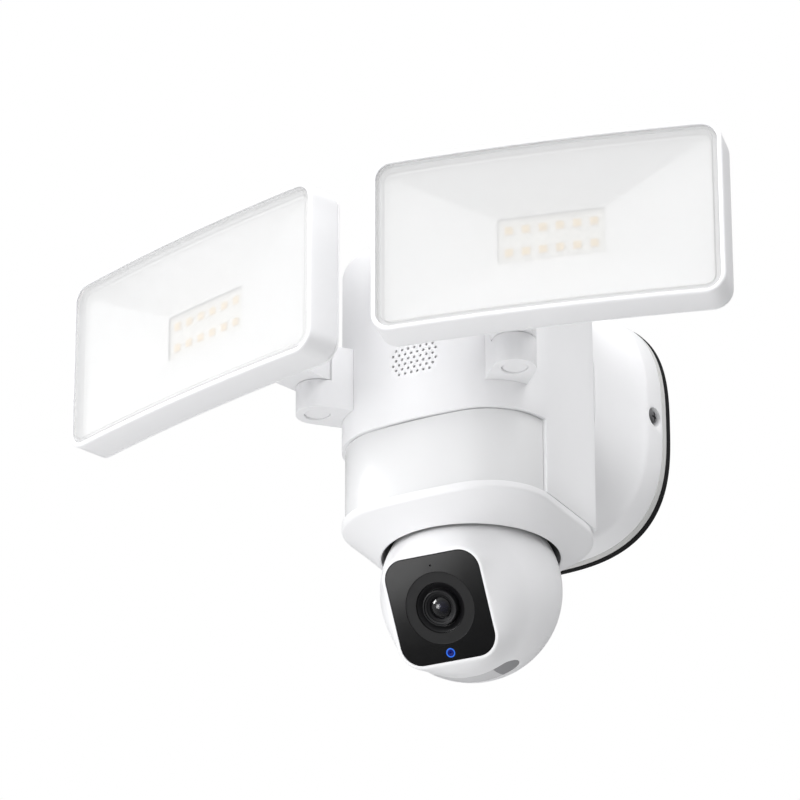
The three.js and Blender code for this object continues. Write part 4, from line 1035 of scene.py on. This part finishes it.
def arm(side, word):
    """Arm with a round end under the link and a seat for the plug in its underside."""
    place = arm_place(side, word)
    lower = round_front_bar(f"arm_{word}_moulding", ARM_HALF, ARM_LENGTH, ARM_BOTTOM, ARM_SEAT, place)
    upper = box_mesh("tool", (-ARM_HALF, 0, ARM_SEAT - 1), (ARM_HALF, ARM_LENGTH, ARM_TOP), place)
    cut(upper, rod("tool", "z", ARM_HALF + 0.6, ARM_SEAT, ARM_TOP + 2, (0, 0), 64, place))
    join(lower, upper)
    cut(lower,
        rod("tool", "z", PLUG_RADIUS + PLUG_GAP, ARM_BOTTOM - 2, ARM_BOTTOM + PLUG_SEAT_DEPTH, (0, 0), 48,
            place),
        rod("tool", "z", PIVOT_BOLT + PIN_HOLE_GAP, ARM_BOTTOM, ARM_SEAT + 1, (0, 0), 24, place))
    bevelled(lower, 0.7, 4, 40)
    housing = loft("tool", [at_height(housing_outline(-ARM_SEAT_GAP), z) for z in (-40, 40)])
    cut(lower, housing)
    return stands_for(lower, f"arm_{word}", WHITE_SHELL)


def pivot_plug(side, word):
    """Round cap over the pivot bolt, a little inside the arm's underside."""
    place = arm_place(side, word)
    profile = softened([(0, ARM_BOTTOM + 0.55), (PLUG_RADIUS - 1.0, ARM_BOTTOM + 0.5),
                        (PLUG_RADIUS, ARM_BOTTOM + 0.9), (PLUG_RADIUS, ARM_BOTTOM + 2.6),
                        (0, ARM_BOTTOM + 2.6)], 0.4)
    rings = [at_height(round_outline(0, 0, max(r, 0.01), 64), z) for r, z in profile]
    plug = loft(f"pivot_plug_{word}_cap", rings, place)
    return stands_for(plug, f"pivot_plug_{word}", WHITE_SHELL)


def link_place(word):
    """Local frame at the link's pivot, with the link reaching along -Y."""
    place = joint_place("lamp_tilt_" + word)
    place.translation = Vector(JOINTS["lamp_pan_" + word]["pos_m"]) / MM
    return place


def lamp_link(word):
    """Link that turns on the arm and carries the lamp on its tongue."""
    place = link_place(word)
    bottom, top = ARM_SEAT + 0.3, ARM_TOP - 0.2
    neck = round_front_bar(f"lamp_link_{word}_casting", ARM_HALF, 10.5 - LINK_REACH, bottom, top, place)
    tongue = box_mesh("tool", (-TONGUE_HALF, -LINK_REACH, -TONGUE_RADIUS),
                      (TONGUE_HALF, -10, TONGUE_RADIUS), place)
    nose = rod("tool", "x", TONGUE_RADIUS, -TONGUE_HALF, TONGUE_HALF, (-LINK_REACH, 0), 48, place)
    join(neck, join(tongue, nose))
    cut(neck, rod("tool", "z", PIVOT_BOLT + PIN_HOLE_GAP, bottom - 1, 6.1, (0, 0), 24, place),
        rod("tool", "x", TILT_PIN + PIN_HOLE_GAP, -20, 20, (-LINK_REACH, 0), 24, place))
    bevelled(neck, 0.6, 3, 40)
    return stands_for(neck, f"lamp_link_{word}", WHITE_SHELL)


def tilt_pin(word):
    """Cross pin through the tongue and the lamp's ears."""
    place = link_place(word)
    end = ARM_HALF + 0.5
    profile = softened([(0, -end), (TILT_PIN, -end), (TILT_PIN, end), (0, end)], 0.35)
    rings = []
    for radius, x in profile:
        circle = round_outline(-LINK_REACH, 0, max(radius, 0.01), 40)
        rings.append(np.column_stack([np.full(40, x), circle]))
    return stands_for(loft(f"tilt_pin_{word}_rod", rings, place), f"tilt_pin_{word}", STEEL)


# ------------------------------------------------------------------ floodlights
LAMP_CORNER = 9
LAMP_BOW = 3.04
LAMP_DEPTH = 18
LIP_WIDTH = 2.1
CORNER_STEPS = 10
ROW_STEPS = 26


def lamp_place(word):
    """Local frame at the middle of a lamp's front."""
    pivot = joint_place("lamp_tilt_" + word)
    lowest, highest = local_box("lamp_housing_" + word, pivot)
    middle_x, middle_z = (lowest[0] + highest[0]) / 2, (lowest[2] + highest[2]) / 2
    return pivot @ Matrix.Translation((middle_x, lowest[1], middle_z))


LAMP_LOW, LAMP_HIGH = local_box("lamp_housing_right", joint_place("lamp_tilt_right"))
LAMP_HALF = (LAMP_HIGH - LAMP_LOW)[[0, 2]] / 2


def bow(x):
    """How far the lamp's front bends back at an X."""
    return LAMP_BOW * (x / LAMP_HALF[0]) ** 2


def bowed_outline(half_width, half_height, radius, depth):
    """Rounded rectangle that follows the bow; its first half runs along the top, right to left."""
    x, z = half_width - radius, half_height - radius
    right, left = arc(x, z, radius, 0, 90, CORNER_STEPS), arc(-x, z, radius, 90, 180, CORNER_STEPS)
    row = np.column_stack([np.linspace(x, -x, ROW_STEPS + 1)[1:-1], np.full(ROW_STEPS - 1, half_height)])
    upper = np.concatenate([right, row, left])
    outline = np.concatenate([upper, upper[::-1] * [1, -1]])
    return np.column_stack([outline[:, 0], depth + bow(outline[:, 0]), outline[:, 1]])


def lamp_ring(inset, depth):
    """The lamp's outline, inset from its side and at a depth behind its front."""
    return bowed_outline(*(LAMP_HALF - inset), max(LAMP_CORNER - inset, 1.2), depth)


def lamp_loft(name, profile, place, **ends):
    """Skins the lamp's outline at pairs of an inset and a depth."""
    return loft(name, [lamp_ring(inset, depth) for inset, depth in profile], place, **ends)


def lamp_housing(word, place):
    """Bezel and side wall."""
    back = LAMP_DEPTH - 2.3
    corners = [(0, 0), (0, back), (2.2, back), (2.2, 7), (4.8, 7), (4.8, 5), (LIP_WIDTH, 5), (LIP_WIDTH, 0)]
    rounded = ring_profile(corners, 0.3, 2)
    lip = bezier((0.0, 1.5), (0.0, 0.0), (1.0, 0.0), 8)
    inner = bezier((LIP_WIDTH - 0.5, 0.0), (LIP_WIDTH, 0.0), (LIP_WIDTH, 0.6), 4)
    skin = [p for p in rounded if p[1] > 1.6 or p[0] > LIP_WIDTH + 0.4]
    profile = [*skin, *inner[::-1], *lip[::-1]]
    piece = lamp_loft(f"lamp_housing_{word}_bezel", profile, place, closed=True)
    return stands_for(piece, f"lamp_housing_{word}", LAMP_SHELL)


def lamp_cover(word, place):
    """Frosted cover with a narrow step all round its edge."""
    edge, step = LIP_WIDTH + 0.1, 2.0
    profile = softened([(edge + step, 0.4), (edge + step - 0.45, 0.85), (edge + 0.15, 0.85), (edge, 1.0),
                        (edge, 3.0), (edge + 2, 3.0)], 0.12, 3)
    profile = [(edge + step + 0.8, 0.4), *profile]
    piece = lamp_loft(f"lamp_cover_{word}_pane", profile, place, strips=True)
    return stands_for(piece, f"lamp_cover_{word}", FROSTED)


def cover_seal(word, place):
    """Rubber ring behind the cover's edge."""
    section = ring_profile([(2.5, 3.25), (2.5, 4.7), (4.6, 4.7), (4.6, 3.25)], 0.4)
    piece = lamp_loft(f"cover_seal_{word}_ring", section, place, closed=True)
    return stands_for(piece, f"cover_seal_{word}", GREY_RUBBER)


BOARD_HALF = np.array([23.5, 10.8])
BOARD_FRONT = 13.6
BOARD_THICKNESS = 1.4
MOUTH_INSET = 5.2  # from the lamp's side to the reflector's mouth
LED_COLUMNS = 6
LED_ROWS = 2
LED_PITCH = 7.3
LED_ROW_PITCH = 10.3
LED_HALF = 1.75


def lamp_reflector(word, place):
    """Funnel with four flat sides from the cover to the board; the top side, which faces down, is darker by
    painted shade.
    """
    mouth = LAMP_HALF - MOUTH_INSET
    rings = [bowed_outline(*mouth, 4, 3.6), bowed_outline(*mouth, 4, 6.4),
             bowed_outline(*(BOARD_HALF + 1.4), 1.5, BOARD_FRONT + 0.1),
             bowed_outline(*(BOARD_HALF - 0.4), 1, BOARD_FRONT - 0.9),
             bowed_outline(*(mouth - 1.4), 3, 4.4), bowed_outline(*(mouth - 1.2), 3, 3.6)]
    piece = loft(f"lamp_reflector_{word}_funnel", rings, place, closed=True)
    stands_for(piece, f"lamp_reflector_{word}", REFLECTOR, 4)
    # Faces that point down, the funnel's top side among them, take the darker colour: painted shade.
    piece.data.materials.append(REFLECTOR_PAINTED_SHADE)
    up = place.to_3x3() @ Vector((0, 0, 1))
    for face in piece.data.polygons:
        face.material_index = int(face.normal @ up < -0.15)
    return piece


def led_board(word, place):
    """Board with two rows of warm white chips."""
    top = BOARD_FRONT + 0.5
    board = box_mesh(f"led_board_{word}_plate", (-BOARD_HALF[0], top, -BOARD_HALF[1]),
                     (BOARD_HALF[0], top + BOARD_THICKNESS, BOARD_HALF[1]), place)
    stands_for(bevelled(board, 0.2, 2), f"led_board_{word}", LED_BOARD)
    chips = []
    sizes = softened([(LED_HALF, top - 0.02), (LED_HALF, top - 0.6), (1.5, top - 0.8), (0.5, top - 0.8)],
                     0.15)
    for i in range(LED_COLUMNS * LED_ROWS):
        x = (i % LED_COLUMNS - (LED_COLUMNS - 1) / 2) * LED_PITCH
        z = (i // LED_COLUMNS - (LED_ROWS - 1) / 2) * LED_ROW_PITCH
        chips.append(loft("chip", [at_depth(rounded_rectangle(h, h, 0.4, 4), d) + [x, 0, z]
                                   for h, d in sizes], place))
    extra(group(f"led_chips_{word}", chips), body_of(f"led_board_{word}"), LED_CHIP)


BACK_RIM = LAMP_DEPTH - 2
RIB_PITCH = 13
RIB_PLACES = (-4, 1, 2, 4)
RIB_HALF_LENGTH = 26
RIB_HALF_WIDTH = 0.9
RIB_FROM, RIB_TO = BACK_RIM + 1, LAMP_DEPTH + 3
EAR_GAP = 0.3


def cooling_rib(x, place):
    """Upright rib with rounded ends, at an X on the lamp's back."""
    outline = rounded_rectangle(RIB_HALF_LENGTH, (RIB_TO - RIB_FROM) / 2, 0.8, 4)
    depths = outline[:, 1] + (RIB_TO + RIB_FROM) / 2
    rings = [np.column_stack([np.full(len(outline), x + w), depths, outline[:, 0]])
             for w in (-RIB_HALF_WIDTH, RIB_HALF_WIDTH)]
    return loft("tool", rings, place)


def hinge_ear(x0, x1, pin, place):
    """Plate from the lamp's back round the tilt pin."""
    ear = box_mesh("tool", (x0, BACK_RIM + 1, pin[2] - TONGUE_RADIUS),
                   (x1, pin[1], pin[2] + TONGUE_RADIUS), place)
    return join(ear, rod("tool", "x", TONGUE_RADIUS, x0, x1, pin[1:], 48, place))


def lamp_back(side, word, place):
    """Cast back with cooling ribs and two ears round the tilt pin."""
    edge = softened([(1.4, BACK_RIM), (0.05, BACK_RIM), (0.05, BACK_RIM + 0.9), (1.5, LAMP_DEPTH),
                     (3.5, LAMP_DEPTH)], 0.7, 4)
    piece = lamp_loft(f"lamp_back_{word}_casting", edge, place, strips=True)
    for n in RIB_PLACES:
        join(piece, cooling_rib(side * n * RIB_PITCH, place))
    lowest, highest = local_box(f"tilt_pin_{word}", place)
    pin = (lowest + highest) / 2
    for way in (-1, 1):
        x0, x1 = sorted((pin[0] + way * (TONGUE_HALF + EAR_GAP), pin[0] + way * ARM_HALF))
        join(piece, hinge_ear(x0, x1, pin, place))
    cut(piece, rod("tool", "x", TILT_PIN + PIN_HOLE_GAP, pin[0] - 20, pin[0] + 20, pin[1:], 32, place))
    bevelled(piece, 0.35, 2, 50)
    return stands_for(piece, f"lamp_back_{word}", LAMP_SHELL)


# ------------------------------------------------------------------ building
def build_base():
    wall_seal()
    mounting_plate()
    base_shell()
    lock_screw(1, "lock_screw_right")
    lock_screw(-1, "lock_screw_left")


def build_housing():
    upper_housing()
    sensor_window()
    lower_collar()
    opening_skirt()


def build_ball():
    head_front_shell()
    head_rear_shell()
    flap_end, key_start = HATCH_SPLIT - HATCH_SPLIT_HALF, HATCH_SPLIT + HATCH_SPLIT_HALF
    hatch_piece("card_cover_flap", "card_cover", -HATCH_REACH, flap_end, GREY_RUBBER)
    hatch_piece("sync_button_key", "sync_button", key_start, HATCH_REACH, DARK_RUBBER)
    front_glass()
    ring_light()
    lens()


def build_lamp(side, word):
    arm(side, word)
    pivot_plug(side, word)
    lamp_link(word)
    tilt_pin(word)
    place = lamp_place(word)
    lamp_housing(word, place)
    lamp_cover(word, place)
    cover_seal(word, place)
    lamp_reflector(word, place)
    led_board(word, place)
    lamp_back(side, word, place)


def dress_carried_over():
    """Gives every CAD node that is still shown its material."""
    for name, node in frame["nodes"].items():
        dressed(node, CARRIED_OVER[slot_of(name)], 25)


# ------------------------------------------------------------------ studio
CAMERA_AZIMUTH = 29.0
CAMERA_ELEVATION = -25.18
CAMERA_ROLL = -0.06
CAMERA_POSITION = Vector((0.9268, -1.8107, -0.9288))
CAMERA_LENS = 225.7
FLOOR_HEIGHT = -3000  # low enough for views from below the object
FLOOR_HALF = 10400
SKY_COLOR = (0.98, 0.985, 1.0, 1)
SKY_DARKEST, SKY_BRIGHTEST = 0.10, 0.50
BRIGHT_SIDE = (-0.55, -0.1, 0.83)  # direction of the sky's brightest part


def direction_to(azimuth, elevation):
    """Unit vector from the object towards a viewer; azimuth 0 is straight in front."""
    a, e = math.radians(azimuth), math.radians(elevation)
    return Vector((math.sin(a) * math.cos(e), -math.cos(a) * math.cos(e), math.sin(e)))


def build_camera():
    data = bpy.data.cameras.new("camera")
    data.lens = CAMERA_LENS
    data.sensor_width = 36
    data.clip_start, data.clip_end = 0.05, 50
    camera = in_scene("camera", data)
    forward = -direction_to(CAMERA_AZIMUTH, CAMERA_ELEVATION)
    looking = forward.to_track_quat("-Z", "Y")
    roll = Matrix.Rotation(math.radians(CAMERA_ROLL), 4, "Z").to_quaternion()
    camera.rotation_mode = "QUATERNION"
    camera.rotation_quaternion = looking @ roll
    camera.location = CAMERA_POSITION
    bpy.context.scene.camera = camera


def lamp_from(name, kind, power, direction):
    """A light that shines from a direction."""
    data = bpy.data.lights.new(name, kind)
    data.energy = power
    light = in_scene(name, data)
    light.rotation_mode = "QUATERNION"
    light.rotation_quaternion = direction.to_track_quat("Z", "Y")
    return light


def sun(name, azimuth, elevation, strength, angle=50, glints=False):
    """Soft light from a direction, without glints of its own unless they are asked for."""
    light = lamp_from(name, "SUN", strength, direction_to(azimuth, elevation))
    light.data.angle = math.radians(angle)
    light.visible_glossy = glints


def softbox(name, position, target, size, power, glints=False):
    """Round area light that either lights the object softly or shows only as a glint."""
    light = lamp_from(name, "AREA", power, Vector(position) - Vector(target))
    light.data.shape = "DISK"
    light.data.size = size
    light.location = position
    light.visible_camera = False
    light.visible_diffuse = not glints
    light.visible_glossy = glints


def build_world():
    """White backdrop, and a softer sky that lights the object, brightest towards the upper left."""
    world = bpy.data.worlds.new("studio")
    bpy.context.scene.world = world
    world.use_nodes = True
    nodes, links = world.node_tree.nodes, world.node_tree.links
    nodes.clear()
    output = nodes.new("ShaderNodeOutputWorld")
    backdrop = fill(nodes.new("ShaderNodeBackground"), {"Color": (1, 1, 1, 1), "Strength": 1.0})
    sky = fill(nodes.new("ShaderNodeBackground"), {"Color": SKY_COLOR})
    towards = nodes.new("ShaderNodeTexCoord")
    slope = nodes.new("ShaderNodeVectorMath")
    slope.operation = "DOT_PRODUCT"
    slope.inputs[1].default_value = BRIGHT_SIDE
    brightness = nodes.new("ShaderNodeMapRange")
    fill(brightness, {"From Min": -1, "To Min": SKY_DARKEST, "To Max": SKY_BRIGHTEST})
    links.new(towards.outputs["Generated"], slope.inputs[0])
    links.new(slope.outputs["Value"], brightness.inputs["Value"])
    links.new(brightness.outputs["Result"], sky.inputs["Strength"])
    seen = nodes.new("ShaderNodeLightPath")
    mix = nodes.new("ShaderNodeMixShader")
    links.new(seen.outputs["Is Camera Ray"], mix.inputs["Fac"])
    links.new(sky.outputs["Background"], mix.inputs[1])
    links.new(backdrop.outputs["Background"], mix.inputs[2])
    links.new(mix.outputs["Shader"], output.inputs["Surface"])


def build_floor():
    """Plain pale floor that shows in no glints."""
    floor = box_mesh("floor", (-FLOOR_HALF, -FLOOR_HALF, FLOOR_HEIGHT - 10),
                     (FLOOR_HALF, FLOOR_HALF, FLOOR_HEIGHT))
    floor.data.materials.append(moulded("floor_paint", (0.58, 0.58, 0.58), 0.6, grain=60))
    floor.visible_glossy = False


def build_studio():
    build_camera()
    build_world()
    build_floor()
    sun("top_right", 30, 60, 1.8)
    sun("front", -7, 5, 1.5)
    sun("right", 98, 55, 1.6)
    sun("left", -57, 22, 0.62, 25, glints=True)
    softbox("low_left", (-0.62, -0.35, -0.45), (-0.12, -0.15, 0), 0.4, 0.9)
    softbox("glass_glow", (-0.139, -0.377, -0.219), (0.005, -0.11, -0.115), 0.16, 0.3, glints=True)
    softbox("lens_glint", (-0.258, -0.311, 0.004), (0.002, -0.109, -0.115), 0.15, 0.5, glints=True)
    scene = bpy.context.scene
    scene.view_settings.view_transform = "Standard"
    scene.view_settings.look = "None"
    scene.view_settings.exposure = 0.0
    scene.view_settings.gamma = 1.0


build_base()
build_housing()
build_ball()
build_lamp(1, "right")
build_lamp(-1, "left")
dress_carried_over()
build_studio()
